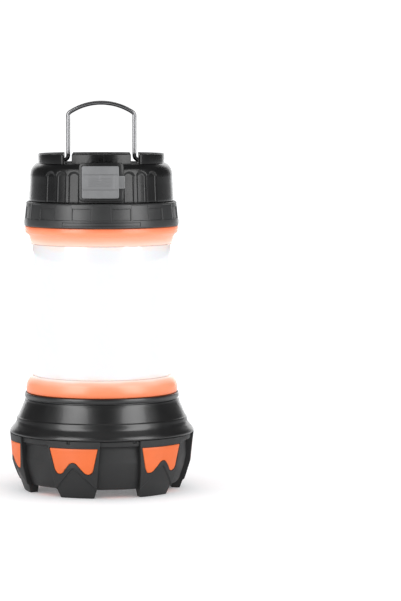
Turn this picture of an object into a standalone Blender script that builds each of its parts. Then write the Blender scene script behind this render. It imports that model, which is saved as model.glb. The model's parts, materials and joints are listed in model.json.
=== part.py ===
"""Rechargeable lamp that is both a hand torch and a camping lantern.

It stands on the rubber bumper of its torch head, with the lantern tube, the screwed-on tail and the
hanging bail above. Metres, +Z up, the origin under the centre of its bounding box, +Y toward the handle.
Lamp coordinates have the lamp's own axis as their Z axis; an empty carries them to that origin, and
a second empty turns the tail to where its thread stops.
"""

import math

import bmesh
import bpy
from mathutils import Matrix, Vector

MM = 0.001
GAP = 0.3 * MM  # between pieces that touch

# Driving sizes
HEAD_R = 55.0 * MM  # outer radius of the torch head, at the bumper's lugs
HANDLE_REACH = 92.3 * MM  # from the lamp axis to the crest of the grip
LUGS = 6
LUG_HALF_ANGLE = math.radians(17.5)
TAIL_CLOCK = math.radians(-11.5)  # where the tail's thread stops

# Heights above the floor
FACE_Z = 4.8 * MM  # front face of the bumper
RIM_Z = 34.2 * MM  # top of the bumper
HOUSING_TOP_Z = 58.2 * MM
LOWER_RING_TOP_Z = 68.4 * MM
DIFFUSER_TOP_Z = 147.0 * MM
UPPER_RING_TOP_Z = 157.6 * MM
COLLAR_TOP_Z = 172.3 * MM
DECK_Z = 194.0 * MM
PAD_TOP_Z = 200.7 * MM
BAIL_PIVOT_Z = 196.8 * MM

# Radii
BUMPER_WALL_R = HEAD_R - 4.5 * MM  # between the lugs
RIM_R = HEAD_R - 1.5 * MM
BAND_R = 46.0 * MM  # neck band of the head housing
TUBE_R = 41.0 * MM  # lantern tube, lower end
TUBE_TOP_R = 42.3 * MM
TUBE_WALL = 2.0 * MM
COLLAR_R = 46.0 * MM
TAIL_R = 43.2 * MM
TAIL_WALL = 4.5 * MM
LENS_R = 32.4 * MM
SPIGOT_R = 39.9 * MM  # outside of the thread that the tail screws onto
SPIGOT_WALL = 1.7 * MM

# Bail
WIRE_R = 1.2 * MM
BAIL_HALF_WIDTH = 19.7 * MM
BAIL_ARC_R = 34.0 * MM
BAIL_BEND_R = 2.6 * MM
BAIL_END = 5.6 * MM  # how far each end turns outward
PIN_CLEARANCE = 0.3 * MM

# Tail top
PAD_HALF_WIDTH = BAIL_HALF_WIDTH - WIRE_R - 1.1 * MM
PAD_END_R = 32.0 * MM
BLOCK_INNER_X = BAIL_HALF_WIDTH + WIRE_R + 1.1 * MM
BLOCK_R = 37.6 * MM
BUTTON_R = 7.7 * MM
BUTTON_SUNK = 0.3 * MM  # below the pad, so that the lamp can stand on its tail
BUTTON_TRAVEL = 1.2 * MM
STEM_R = 3.0 * MM

# Charging port
FLAP_LEFT = 11.3 * MM
FLAP_RIGHT = 10.1 * MM
FLAP_LOW_Z = 175.4 * MM
FLAP_HIGH_Z = 193.0 * MM
FLAP_SKIN = 1.4 * MM
STRAP_REACH = 3.3 * MM
STRAP_HALF_HEIGHT = 3.7 * MM
FRAME_HALF_WIDTH = 13.0 * MM
FRAME_MARGIN = 1.9 * MM
FRAME_R = TAIL_R + 0.8 * MM
RECESS_R = TAIL_R - 0.6 * MM
USB_A_SIZE = (13.1 * MM, 14.0 * MM, 5.6 * MM)
MICRO_USB_SIZE = (7.6 * MM, 5.6 * MM, 2.7 * MM)
BOARD_Z = 183.5 * MM
BOARD_T = 1.5 * MM

# Batteries
CELL_R = 9.2 * MM
CELL_LENGTH = 65.0 * MM

# Inserts
INSERT_T = 1.8 * MM
INSERT_TOP_Z = 30.0 * MM
INSERT_LOW_Z = 14.8 * MM
INSERT_NOTCH_Z = 21.8 * MM

# Handle
GRIP_HALF_WIDTH = 11.5 * MM
ROOT_HALF_WIDTH = 16.5 * MM
INLAY_T = 1.2 * MM
SPINE_HALF_WIDTH = 9.0 * MM
HANDLE_TOP_Z = 166.0 * MM
HANDLE_SCREW_R = 1.5 * MM

OUTER_SEGMENTS = 36
INNER_SEGMENTS = 24

CENTRE_Y = -(HANDLE_REACH - HEAD_R) / 2


def clear_scene():
    for obj in list(bpy.data.objects):
        bpy.data.objects.remove(obj, do_unlink=True)


def material(name, colour, roughness, metallic=0.0):
    made = bpy.data.materials.new(name)
    made.use_nodes = True
    shader = made.node_tree.nodes["Principled BSDF"]
    shader.inputs["Base Color"].default_value = (*colour, 1.0)
    shader.inputs["Roughness"].default_value = roughness
    shader.inputs["Metallic"].default_value = metallic
    return made


PAINTS = {
    "rubber": ((0.055, 0.058, 0.062), 0.8, 0.0),
    "grey_rubber": ((0.22, 0.22, 0.22), 0.75, 0.0),
    "orange": ((0.9, 0.16, 0.03), 0.4, 0.0),
    "black": ((0.012, 0.012, 0.014), 0.15, 0.0),
    "dark_grey": ((0.05, 0.052, 0.056), 0.6, 0.0),
    "white": ((0.85, 0.86, 0.88), 0.4, 0.0),
    "clear": ((0.8, 0.85, 0.88), 0.05, 0.0),
    "chrome": ((0.85, 0.85, 0.87), 0.08, 1.0),
    "steel": ((0.6, 0.6, 0.61), 0.25, 1.0),
    "aluminium": ((0.6, 0.61, 0.63), 0.35, 1.0),
    "board": ((0.02, 0.16, 0.06), 0.5, 0.0),
    "led": ((0.9, 0.75, 0.2), 0.3, 0.0),
    "cell": ((0.05, 0.2, 0.5), 0.35, 0.0),
    "brass": ((0.7, 0.5, 0.2), 0.3, 1.0),
}


def finish(bm, name, paint, parent, smooth=True):
    """Turn the bmesh into a named node with its own material."""
    bmesh.ops.remove_doubles(bm, verts=bm.verts, dist=1e-7)
    bmesh.ops.recalc_face_normals(bm, faces=bm.faces)
    mesh = bpy.data.meshes.new(name)
    bm.to_mesh(mesh)
    bm.free()
    if smooth:
        mesh.shade_smooth()
        mesh.set_sharp_from_angle(angle=math.radians(35))
    mesh.materials.append(material(name, *PAINTS[paint]))
    obj = bpy.data.objects.new(name, mesh)
    bpy.context.collection.objects.link(obj)
    obj.parent = parent
    return obj


def move(obj, origin):
    """Put the object's origin there and leave its shape where it is."""
    obj.data.transform(Matrix.Translation(-Vector(origin)))
    obj.location = origin


def turned(profile, segments):
    """A bmesh turned from (radius, z) points, open only where both ends lie on the axis."""
    bm = bmesh.new()
    points = [bm.verts.new((r, 0.0, z)) for r, z in profile]
    on_axis = profile[0][0] == 0 and profile[-1][0] == 0
    edges = [bm.edges.new(pair) for pair in zip(points, points[1:])]
    if not on_axis:
        edges.append(bm.edges.new((points[-1], points[0])))
    bmesh.ops.spin(
        bm, geom=points + edges, cent=(0, 0, 0), axis=(0, 0, 1),
        angle=2 * math.pi, steps=segments, use_merge=True,
    )
    bmesh.ops.remove_doubles(bm, verts=bm.verts, dist=1e-7)
    return bm


def lathe(name, profile, paint, parent, segments=OUTER_SEGMENTS):
    return finish(turned(profile, segments), name, paint, parent)


def loft(bm, stations):
    """Close a row of equal loops with sides and two end caps."""
    rows = [[bm.verts.new(point) for point in station] for station in stations]
    for near, far in zip(rows, rows[1:]):
        for i, vert in enumerate(near):
            j = (i + 1) % len(near)
            bm.faces.new((vert, near[j], far[j], far[i]))
    bm.faces.new(rows[0])
    bm.faces.new(rows[-1])


def prism(bm, outline, place, near, far):
    """Extrude an outline from depth near to depth far, where place(u, v, depth) gives the point."""
    loft(bm, [[place(u, v, depth) for u, v in outline] for depth in (near, far)])


def block(bm, low, high):
    made = bmesh.ops.create_cube(bm, size=1.0)
    size = [b - a for a, b in zip(low, high)]
    middle = [(a + b) / 2 for a, b in zip(low, high)]
    shape = Matrix.Translation(middle) @ Matrix.Diagonal((*size, 1.0))
    bmesh.ops.transform(bm, matrix=shape, verts=made["verts"])


def rod(bm, start, end, radius, segments=16):
    start, end = Vector(start), Vector(end)
    made = bmesh.ops.create_cone(
        bm, cap_ends=True, segments=segments, radius1=radius, radius2=radius, depth=(end - start).length
    )
    turn = (end - start).to_track_quat("Z", "Y").to_matrix().to_4x4()
    bmesh.ops.transform(bm, matrix=Matrix.Translation((start + end) / 2) @ turn, verts=made["verts"])


def boolean(target, tool, operation):
    """Cut the tool from the target or join it on; the tool stays as a hidden guide."""
    tool.hide_render = True
    tool.display_type = "WIRE"
    modifier = target.modifiers.new(tool.name, "BOOLEAN")
    modifier.operation = operation
    modifier.solver = "EXACT"
    modifier.object = tool


def polar(angle, radius, z):
    """A point by its angle from -Y toward +X."""
    return (radius * math.sin(angle), -radius * math.cos(angle), z)


def arc(centre, radius, start, end, steps):
    """Points (u, v) along an arc, the angles in degrees."""
    for i in range(steps + 1):
        angle = math.radians(start + (end - start) * i / steps)
        yield (centre[0] + radius * math.cos(angle), centre[1] + radius * math.sin(angle))


# Torch head


def lug_radius(z):
    """The lug's outer face: upright at the top, drawn in toward the foot."""
    heights = [(0.0, 46.8), (1.5, 47.6), (7.7, 50.6), (16.0, 53.7), (33.5, 55.0), (40.0, 55.0)]
    for (z0, r0), (z1, r1) in zip(heights, heights[1:]):
        if z <= z1 * MM:
            share = (z / MM - z0) / (z1 - z0)
            return (r0 + (r1 - r0) * share) * HEAD_R / 55.0
    return HEAD_R


def lug_stations(centre):
    """Upright slices across one lug; the outer ones are chamfered at the foot."""
    foot_inner, lug_inner = BUMPER_WALL_R - 11.9 * MM, BUMPER_WALL_R - 1.2 * MM
    for share, chamfer in ((-1, 1.6), (-0.82, 0.4), (-0.45, 0), (0, 0), (0.45, 0), (0.82, 0.4), (1, 1.6)):
        low = chamfer * MM
        taper = 0.8
        station = []
        for radius, z, spread in (
            (lug_radius(low), low, taper),
            (lug_radius(7.7 * MM), 7.7 * MM, taper),
            (lug_radius(16.0 * MM), 16.0 * MM, 0.93),
            (lug_radius(33.5 * MM), RIM_Z - 0.7 * MM, 1.0),
            (HEAD_R - 0.7 * MM, RIM_Z, 1.0),
            (lug_inner, RIM_Z - 0.4 * MM, 1.0),
            (lug_inner, 22.0 * MM, 0.93),
            (BUMPER_WALL_R - 6.1 * MM, 8.0 * MM, taper),
            (foot_inner, 8.0 * MM, taper),
            (foot_inner, low, taper),
        ):
            station.append(polar(centre + share * spread * LUG_HALF_ANGLE, radius, z))
        yield station


def insert_outline(margin):
    """The W of a lug insert as (arc length, z), grown by a margin."""
    half_top = 15.0 * MM + margin
    lobe, lobe_r = 9.3 * MM, 3.2 * MM + margin
    top, low = INSERT_TOP_Z + margin, INSERT_LOW_Z - margin
    right = [(half_top, top), (half_top - 0.6 * MM, top - 4.0 * MM)]
    right += [(lobe + lobe_r, low + lobe_r), (lobe + 0.6 * lobe_r, low + 0.4 * MM), (lobe, low)]
    right += [(lobe - 0.7 * lobe_r, low + 0.6 * MM), (1.6 * MM, INSERT_NOTCH_Z - margin - 0.5 * MM)]
    return right + [(0.0, INSERT_NOTCH_Z - margin)] + [(-u, v) for u, v in reversed(right)]


def add_insert(bm, centre, margin, depth_out, depth_in):
    """A W wrapped round the lug between two depths below the lug's face."""
    flat = bmesh.new()
    flat.faces.new([flat.verts.new((u, 0.0, v)) for u, v in insert_outline(margin)])
    for cut in (-12, -6, 0, 6, 12):
        bmesh.ops.bisect_plane(
            flat, geom=flat.verts[:] + flat.edges[:] + flat.faces[:],
            plane_co=(cut * MM, 0, 0), plane_no=(1, 0, 0), dist=1e-7,
        )
    grown = bmesh.ops.extrude_face_region(flat, geom=flat.faces[:])
    back = {v for v in grown["geom"] if isinstance(v, bmesh.types.BMVert)}
    for vert in flat.verts:
        depth = depth_in if vert in back else depth_out
        u, z = vert.co.x, vert.co.z
        vert.co = polar(centre + u / HEAD_R, lug_radius(z) - depth, z)
    mesh = bpy.data.meshes.new("insert")
    flat.to_mesh(mesh)
    flat.free()
    bm.from_mesh(mesh)
    bpy.data.meshes.remove(mesh)


def face_insert_outline(margin):
    """Trapezoid of a front-face insert as (tangential, radius)."""
    inner, outer = BUMPER_WALL_R - 11.6 * MM - margin, BUMPER_WALL_R - 5.3 * MM + margin
    return [
        (-6.2 * MM - margin, inner), (6.2 * MM + margin, inner),
        (8.4 * MM + margin, outer - 1.2 * MM), (7.6 * MM + margin, outer),
        (-7.6 * MM - margin, outer), (-8.4 * MM - margin, outer - 1.2 * MM),
    ]


def add_face_insert(bm, centre, margin, low, high):
    def place(u, radius, z):
        x, y = radius * math.sin(centre), -radius * math.cos(centre)
        return (x + u * math.cos(centre), y + u * math.sin(centre), z)

    prism(bm, face_insert_outline(margin), place, low, high)


def build_bumper(lamp):
    wall_top = RIM_Z - 3.2 * MM
    mouth_r, ledge_r = LENS_R + 1.9 * MM, BUMPER_WALL_R - 2.3 * MM
    bumper = lathe("bumper", [
        (BUMPER_WALL_R - 4.5 * MM, FACE_Z + 0.8 * MM), (BUMPER_WALL_R, 20.9 * MM), (BUMPER_WALL_R, wall_top),
        (RIM_R, wall_top), (RIM_R, RIM_Z), (ledge_r, RIM_Z), (ledge_r, 21.4 * MM),
        (ledge_r - 4.6 * MM, 8.9 * MM), (mouth_r, 8.9 * MM), (mouth_r, 8.0 * MM),
        (mouth_r + 4.0 * MM, FACE_Z), (BUMPER_WALL_R - 5.1 * MM, FACE_Z),
    ], "rubber", lamp)
    lug_angles = [math.pi / LUGS + i * 2 * math.pi / LUGS for i in range(LUGS)]
    gap_angles = [i * 2 * math.pi / LUGS for i in range(LUGS)]
    for number, angle in enumerate(lug_angles, 1):
        bm = bmesh.new()
        loft(bm, list(lug_stations(angle)))
        boolean(bumper, finish(bm, f"lug_{number}", "rubber", lamp), "UNION")
    pockets = bmesh.new()
    for angle in lug_angles:
        add_insert(pockets, angle, GAP, -2 * MM, INSERT_T + GAP)
    for angle in gap_angles:
        add_face_insert(pockets, angle, GAP, 0.0, FACE_Z + INSERT_T + GAP)
    boolean(bumper, finish(pockets, "insert_pockets", "rubber", lamp), "DIFFERENCE")
    for number, angle in enumerate(lug_angles, 1):
        bm = bmesh.new()
        add_insert(bm, angle, 0.0, 0.0, INSERT_T)
        finish(bm, f"lug_insert_{number}", "orange", lamp)
    for number, angle in enumerate(gap_angles, 1):
        bm = bmesh.new()
        add_face_insert(bm, angle, 0.0, FACE_Z, FACE_Z + INSERT_T)
        finish(bm, f"face_insert_{number}", "orange", lamp)


def build_torch(lamp):
    """Lens, gasket and reflector, clamped by the bezel behind the bumper's lip."""
    seat_r = LENS_R + 3.9 * MM
    bezel_r = LENS_R + 1.6 * MM
    lathe("bezel_ring", [
        (LENS_R + GAP, 8.4 * MM), (bezel_r, 8.4 * MM), (bezel_r, 9.2 * MM), (seat_r, 9.2 * MM),
        (seat_r, 10.2 * MM), (LENS_R + GAP, 10.2 * MM),
    ], "chrome", lamp)
    lathe("lens", [
        (0.0, 9.2 * MM), (LENS_R, 9.2 * MM), (LENS_R, 10.5 * MM), (seat_r, 10.5 * MM),
        (seat_r, 12.0 * MM), (0.0, 12.0 * MM),
    ], "clear", lamp)
    lathe("lens_gasket", [
        (LENS_R + 0.8 * MM, 12.3 * MM), (seat_r, 12.3 * MM), (seat_r, 13.3 * MM),
        (LENS_R + 0.8 * MM, 13.3 * MM),
    ], "rubber", lamp, INNER_SEGMENTS)
    throat_z, rim_z, throat_r, rim_r = 37.0 * MM, 13.6 * MM, 6.0 * MM, LENS_R - 0.6 * MM
    bowl = []
    for i in range(8):
        share = i / 7
        radius = throat_r + (rim_r - throat_r) * share
        bowl.append((radius, throat_z - (throat_z - rim_z) * share ** 2))
    skin = 1.2 * MM
    back = [(r + skin, z + skin) for r, z in reversed(bowl[:-1])]
    lathe("reflector", bowl + [(seat_r, rim_z), (seat_r, rim_z + skin), (rim_r + skin, rim_z + skin)] + back,
          "chrome", lamp, INNER_SEGMENTS)
    board_z = throat_z + skin + GAP
    lathe("torch_led_board", [(0.0, board_z), (11.0 * MM, board_z), (11.0 * MM, board_z + BOARD_T),
                              (0.0, board_z + BOARD_T)], "board", lamp, INNER_SEGMENTS)
    led_z = board_z - GAP
    lathe("torch_led", [
        (0.0, led_z - 3.6 * MM), (1.6 * MM, led_z - 3.2 * MM), (2.6 * MM, led_z - 2.2 * MM),
        (3.4 * MM, led_z - 1.6 * MM), (3.4 * MM, led_z), (0.0, led_z),
    ], "led", lamp, 16)
    sink_z = board_z + BOARD_T + GAP
    lathe("heat_sink", [
        (0.0, sink_z), (24.0 * MM, sink_z), (24.0 * MM, sink_z + 2.5 * MM), (16.0 * MM, sink_z + 2.5 * MM),
        (16.0 * MM, sink_z + 5.0 * MM), (24.0 * MM, sink_z + 5.0 * MM), (24.0 * MM, sink_z + 7.5 * MM),
        (12.0 * MM, sink_z + 7.5 * MM), (12.0 * MM, sink_z + 11.0 * MM), (0.0, sink_z + 11.0 * MM),
    ], "aluminium", lamp, INNER_SEGMENTS)


def build_housing(lamp):
    flange_z = RIM_Z + GAP
    step_r, step_z = BAND_R + 4.6 * MM, flange_z + 9.0 * MM
    skirt_r, sleeve_r = BUMPER_WALL_R - 2.6 * MM, LENS_R + 4.3 * MM
    top, under = HOUSING_TOP_Z, HOUSING_TOP_Z - 3.2 * MM
    inner_r = BUMPER_WALL_R - 5.7 * MM
    lathe("head_housing", [
        (HEAD_R - 0.1 * MM, flange_z), (HEAD_R - 0.1 * MM, flange_z + 1.0 * MM),
        (HEAD_R - 0.5 * MM, flange_z + 1.8 * MM), (step_r + 0.4 * MM, flange_z + 6.0 * MM),
        (step_r, flange_z + 6.5 * MM), (step_r, step_z), (step_r - 0.4 * MM, step_z + 0.4 * MM),
        (BAND_R, top - 4.7 * MM), (BAND_R, top - 3.6 * MM), (BAND_R - 0.8 * MM, top - 3.4 * MM),
        (BAND_R - 0.8 * MM, top - 2.8 * MM), (BAND_R, top - 2.6 * MM), (BAND_R, top),
        (20.0 * MM, top), (20.0 * MM, under), (BAND_R - 3.4 * MM, under),
        (BAND_R - 3.4 * MM, under - 5.0 * MM),
        (inner_r, RIM_Z + 7.8 * MM), (inner_r, 24.0 * MM), (inner_r - 2.8 * MM, 17.0 * MM),
        (sleeve_r, 17.0 * MM), (sleeve_r, 9.2 * MM), (skirt_r - 4.7 * MM, 9.2 * MM),
        (skirt_r, 21.4 * MM), (skirt_r, flange_z),
    ], "black", lamp)


# Lantern tube


def build_lantern(lamp):
    socket_r = TUBE_R - 0.8 * MM
    spigot_r = socket_r - GAP
    bore_r = spigot_r - TUBE_WALL
    base = HOUSING_TOP_Z + GAP
    socket_floor = base + 2.7 * MM
    lathe("lower_ring", [
        (45.1 * MM, base), (45.1 * MM, 61.5 * MM), (44.4 * MM, 65.1 * MM), (41.4 * MM, LOWER_RING_TOP_Z),
        (socket_r, LOWER_RING_TOP_Z), (socket_r, socket_floor), (bore_r, socket_floor), (bore_r, base),
    ], "orange", lamp)
    crown_bore = TUBE_TOP_R - 1.1 * MM
    crown_spigot_top = DIFFUSER_TOP_Z + 6.0 * MM
    tube_base = LOWER_RING_TOP_Z + GAP
    lathe("diffuser", [
        (TUBE_R, tube_base), (TUBE_TOP_R, DIFFUSER_TOP_Z), (crown_bore - GAP, DIFFUSER_TOP_Z),
        (crown_bore - GAP, crown_spigot_top), (crown_bore - GAP - TUBE_WALL, crown_spigot_top),
        (crown_bore - GAP - TUBE_WALL, DIFFUSER_TOP_Z - 2 * MM), (bore_r, tube_base + 2 * MM),
        (bore_r, socket_floor + GAP), (spigot_r, socket_floor + GAP), (spigot_r, tube_base),
    ], "white", lamp)
    crown_base = DIFFUSER_TOP_Z + GAP
    lathe("upper_ring", [
        (42.0 * MM, crown_base), (42.9 * MM, 150.6 * MM), (43.8 * MM, 152.0 * MM), (45.6 * MM, 154.4 * MM),
        (45.6 * MM, UPPER_RING_TOP_Z), (crown_bore, UPPER_RING_TOP_Z), (crown_bore, crown_base),
    ], "orange", lamp)
    floor_z = crown_spigot_top + GAP
    spigot_top = UPPER_RING_TOP_Z + 9.9 * MM
    lathe("thread_base", [
        (0.0, floor_z), (crown_bore - GAP, floor_z), (crown_bore - GAP, UPPER_RING_TOP_Z),
        (SPIGOT_R, UPPER_RING_TOP_Z), (SPIGOT_R, spigot_top), (SPIGOT_R - SPIGOT_WALL, spigot_top),
        (SPIGOT_R - SPIGOT_WALL, floor_z + 2 * MM), (0.0, floor_z + 2 * MM),
    ], "black", lamp)
    plate_z = floor_z + 2 * MM + GAP
    lathe("contact_plate", [(0.0, plate_z), (30.0 * MM, plate_z), (30.0 * MM, plate_z + 1 * MM),
                            (0.0, plate_z + 1 * MM)], "brass", lamp, INNER_SEGMENTS)
    column_top = floor_z - 2.5 * MM
    bm = bmesh.new()
    block(bm, (-9 * MM, -6 * MM, base), (9 * MM, 6 * MM, column_top))
    finish(bm, "led_column", "aluminium", lamp, smooth=False)
    for side, word in ((-1, "front"), (1, "back")):
        bm = bmesh.new()
        near, far = sorted((side * (6 * MM + GAP), side * (7.5 * MM + GAP)))
        block(bm, (-8 * MM, near, base + 6 * MM), (8 * MM, far, column_top - 4 * MM))
        finish(bm, f"side_led_board_{word}", "board", lamp, smooth=False)
    return plate_z + 1 * MM


# Handle


def handle_path():
    """Rows up the handle, in mm.

    Each is (outer z, outer r, inner z, inner r, spine crest z, spine crest r, half width).
    """
    crest = HANDLE_REACH / MM
    outer, inner = crest - 1.4, crest - 17.4
    top = HANDLE_TOP_Z / MM
    root, grip = ROOT_HALF_WIDTH / MM, GRIP_HALF_WIDTH / MM
    return [
        (44.6, 44.0, 57.9, 40.0, 31.5, 44.0, root),
        (44.6, 52.2, 57.9, 47.5, 31.5, 54.0, root),
        (40.6, 59.5, 57.9, 52.5, 31.8, 60.5, root - 2.6),
        (39.1, 66.9, 58.0, 57.0, 32.8, 67.5, grip + 1.0),
        (40.2, 72.2, 59.2, 62.8, 34.4, 75.0, grip),
        (43.0, 77.4, 61.6, 67.6, 38.6, 82.0, grip),
        (47.4, 82.6, 64.8, 71.2, 44.8, crest - 4.9, grip),
        (53.6, crest - 5.2, 69.0, inner - 2.0, 52.6, crest - 1.6, grip),
        (62.0, crest - 2.1, 74.0, inner - 1.2, 62.0, crest - 0.1, grip),
        (74.0, outer, 80.0, inner - 0.9, 74.0, crest, grip),
        (100.0, outer, 100.0, inner - 0.4, 100.0, crest, grip),
        (130.0, outer, 130.0, inner, 130.0, crest, grip),
        (top - 11, outer, top - 11, inner + 0.8, top - 11, crest, grip),
        (top - 4.5, outer - 0.9, top - 4.5, inner + 1.6, top - 4.0, crest - 0.6, grip),
        (top - 1.2, outer - 4.5, top - 1.2, inner + 4.2, top + 1.0, crest - 3.4, grip - 1.0),
    ]


def handle_point(z, radius, x):
    return (x, radius, z)


def between(a, b, share):
    return tuple(p + (q - p) * share for p, q in zip(a, b))


def shell_station(row, side):
    """Cross-section of one shell: flat at the parting plane, rounded at the side face."""
    outer, inner, half = (row[0] * MM, row[1] * MM), (row[2] * MM, row[3] * MM), row[6] * MM
    seam = GAP / 2
    loop = []
    for share, x in ((0.0, seam), (0.0, half - 2.5 * MM), (0.07, half - 0.6 * MM), (0.16, half),
                     (0.86, half), (0.95, half - 1.0 * MM), (1.0, half - 3.5 * MM), (1.0, seam)):
        z, radius = between(outer, inner, share)
        loop.append(handle_point(z, radius, side * x))
    return loop


def spine_station(row):
    """Cross-section of the spine: it lies on the shells' outer edge, with a low crest."""
    outer, crest = (row[0] * MM, row[1] * MM), (row[4] * MM, row[5] * MM)
    inner = (row[2] * MM, row[3] * MM)
    length = math.dist(outer, inner)
    away = ((outer[0] - inner[0]) / length * GAP, (outer[1] - inner[1]) / length * GAP)
    base = (outer[0] + away[0], outer[1] + away[1])
    side = between(base, crest, 0.6)
    half = SPINE_HALF_WIDTH + max(0.0, row[6] * MM - GRIP_HALF_WIDTH)
    loop = []
    for (z, radius), x in ((base, -half), (side, -half), (crest, -half * 0.62), (crest, half * 0.62),
                           (side, half), (base, half)):
        loop.append(handle_point(z, radius, x))
    return loop


def inlay_stations(side, margin, depth_out, depth_in):
    """The inlay strip: between a fifth and four fifths of the side face, from the bend to the tip."""
    rows = handle_path()[2:-1]
    for number, row in enumerate(rows):
        outer, inner, half = (row[0] * MM, row[1] * MM), (row[2] * MM, row[3] * MM), row[6] * MM
        length = math.dist(outer, inner)
        grow = margin / length
        low, high = (0.3, 0.55) if number == 0 else (0.2, 0.76)
        near, far = between(outer, inner, low - grow), between(outer, inner, high + grow)
        yield [handle_point(*near, side * (half + depth_out)), handle_point(*far, side * (half + depth_out)),
               handle_point(*far, side * (half - depth_in)), handle_point(*near, side * (half - depth_in))]


def build_handle(lamp):
    wall_top = RIM_Z - 3.2 * MM
    clearance = lathe("lamp_clearance", [
        (0.0, 10.0 * MM), (BUMPER_WALL_R + GAP, 10.0 * MM), (BUMPER_WALL_R + GAP, wall_top - GAP),
        (HEAD_R + GAP, wall_top - GAP), (HEAD_R + GAP, RIM_Z + 2.4 * MM),
        (BAND_R + 5.0 * MM + GAP, RIM_Z + 6.8 * MM), (BAND_R + 5.0 * MM, RIM_Z + 9.7 * MM),
        (BAND_R + 0.5 * MM, HOUSING_TOP_Z - 4.5 * MM), (BAND_R + GAP, LOWER_RING_TOP_Z + 3.6 * MM),
        (0.0, LOWER_RING_TOP_Z + 3.6 * MM),
    ], "black", lamp)
    rows = handle_path()
    screw_at = [between((row[0] * MM, row[1] * MM), (row[2] * MM, row[3] * MM), 0.48)
                for row in (rows[4], rows[8], rows[11])]
    bores = bmesh.new()
    for z, radius in screw_at:
        left, right = handle_point(z, radius, -20 * MM), handle_point(z, radius, 20 * MM)
        rod(bores, left, right, HANDLE_SCREW_R + GAP, 12)
    bores = finish(bores, "screw_bores", "steel", lamp)
    shells = {}
    for side, word in ((-1, "left"), (1, "right")):
        bm = bmesh.new()
        loft(bm, [shell_station(row, side) for row in rows])
        shell = finish(bm, f"handle_{word}", "black", lamp)
        bm = bmesh.new()
        loft(bm, list(inlay_stations(side, GAP, 3 * MM, INLAY_T + GAP)))
        boolean(shell, finish(bm, f"inlay_pocket_{word}", "orange", lamp), "DIFFERENCE")
        boolean(shell, bores, "DIFFERENCE")
        boolean(shell, clearance, "DIFFERENCE")
        bm = bmesh.new()
        loft(bm, list(inlay_stations(side, 0.0, 0.0, INLAY_T)))
        finish(bm, f"handle_inlay_{word}", "orange", lamp)
        shells[word] = shell
    bm = bmesh.new()
    loft(bm, [spine_station(row) for row in rows])
    spine = finish(bm, "handle_spine", "dark_grey", lamp)
    boolean(spine, clearance, "DIFFERENCE")
    reach = GRIP_HALF_WIDTH - INLAY_T - 2 * GAP
    for number, (z, radius) in enumerate(screw_at, 1):
        bm = bmesh.new()
        rod(bm, handle_point(z, radius, -reach), handle_point(z, radius, reach), HANDLE_SCREW_R, 12)
        finish(bm, f"handle_screw_{number}", "steel", lamp)


# Tail


def pad_outline():
    """Plan of the central pad: straight sides and round ends."""
    half = math.degrees(math.asin(PAD_HALF_WIDTH / PAD_END_R)) - 4
    back = list(arc((0, 0), PAD_END_R, 90 - half, 90 + half, 6))
    front = list(arc((0, 0), PAD_END_R, 270 - half, 270 + half, 6))
    corner = PAD_END_R * math.cos(math.radians(half)) - 2 * MM
    return ([(PAD_HALF_WIDTH, corner)] + back + [(-PAD_HALF_WIDTH, corner), (-PAD_HALF_WIDTH, -corner)]
            + front + [(PAD_HALF_WIDTH, -corner)])


def block_outline(side):
    """Plan of a side block: a segment of a circle with a flat inner face."""
    half = math.degrees(math.acos(BLOCK_INNER_X / BLOCK_R)) - 4
    corner = BLOCK_R * math.sin(math.radians(half)) - 2.4 * MM
    outside = list(arc((0, 0), BLOCK_R, -half, half, 8))
    return [(side * x, side * y) for x, y in outside + [(BLOCK_INNER_X, corner), (BLOCK_INNER_X, -corner)]]


def flat(x, y, z):
    return (x, y, z)


def curved_panel(bm, left, right, low, high, inner_r, outer_r, steps):
    """A panel that follows the tail's round side, at the front."""
    stations = []
    for i in range(steps + 1):
        angle = math.asin((left + (right - left) * i / steps) / TAIL_R)
        stations.append([polar(angle, r, z) for r, z in
                         ((inner_r, low), (outer_r, low), (outer_r, high), (inner_r, high))])
    loft(bm, stations)


def strap_z():
    middle = (FLAP_LOW_Z + FLAP_HIGH_Z) / 2
    return middle - STRAP_HALF_HEIGHT, middle + STRAP_HALF_HEIGHT


def bail_outline():
    """Centreline of the bail as (x, z) from its pivot: ends, legs and an arc about the pivot."""
    bend = BAIL_BEND_R
    leg_top = math.sqrt((BAIL_ARC_R - bend) ** 2 - (BAIL_HALF_WIDTH - bend) ** 2)
    corner = (BAIL_HALF_WIDTH - bend, leg_top)
    lean = math.degrees(math.atan2(corner[1], corner[0]))
    right = [(BAIL_HALF_WIDTH + BAIL_END, 0.0)]
    right += list(arc((BAIL_HALF_WIDTH + bend, bend), bend, 270, 180, 4))
    right += list(arc(corner, bend, 0, lean, 3))
    top = list(arc((0, 0), BAIL_ARC_R, lean, 180 - lean, 12))[1:-1]
    return right + top + [(-x, z) for x, z in reversed(right)]


def tube(bm, path, radius, sides=8):
    """A round wire along a path in the XZ plane, each ring square to the wire."""
    stations = []
    for i, point in enumerate(path):
        before, after = path[max(i - 1, 0)], path[min(i + 1, len(path) - 1)]
        heading = Vector((after[0] - before[0], after[1] - before[1])).normalized()
        ring = []
        for k in range(sides):
            angle = 2 * math.pi * (k + 0.5) / sides
            out, along = radius * math.cos(angle), radius * math.sin(angle)
            ring.append((point[0] - heading.y * out, along, point[1] + heading.x * out))
        stations.append(ring)
    loft(bm, stations)


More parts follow.
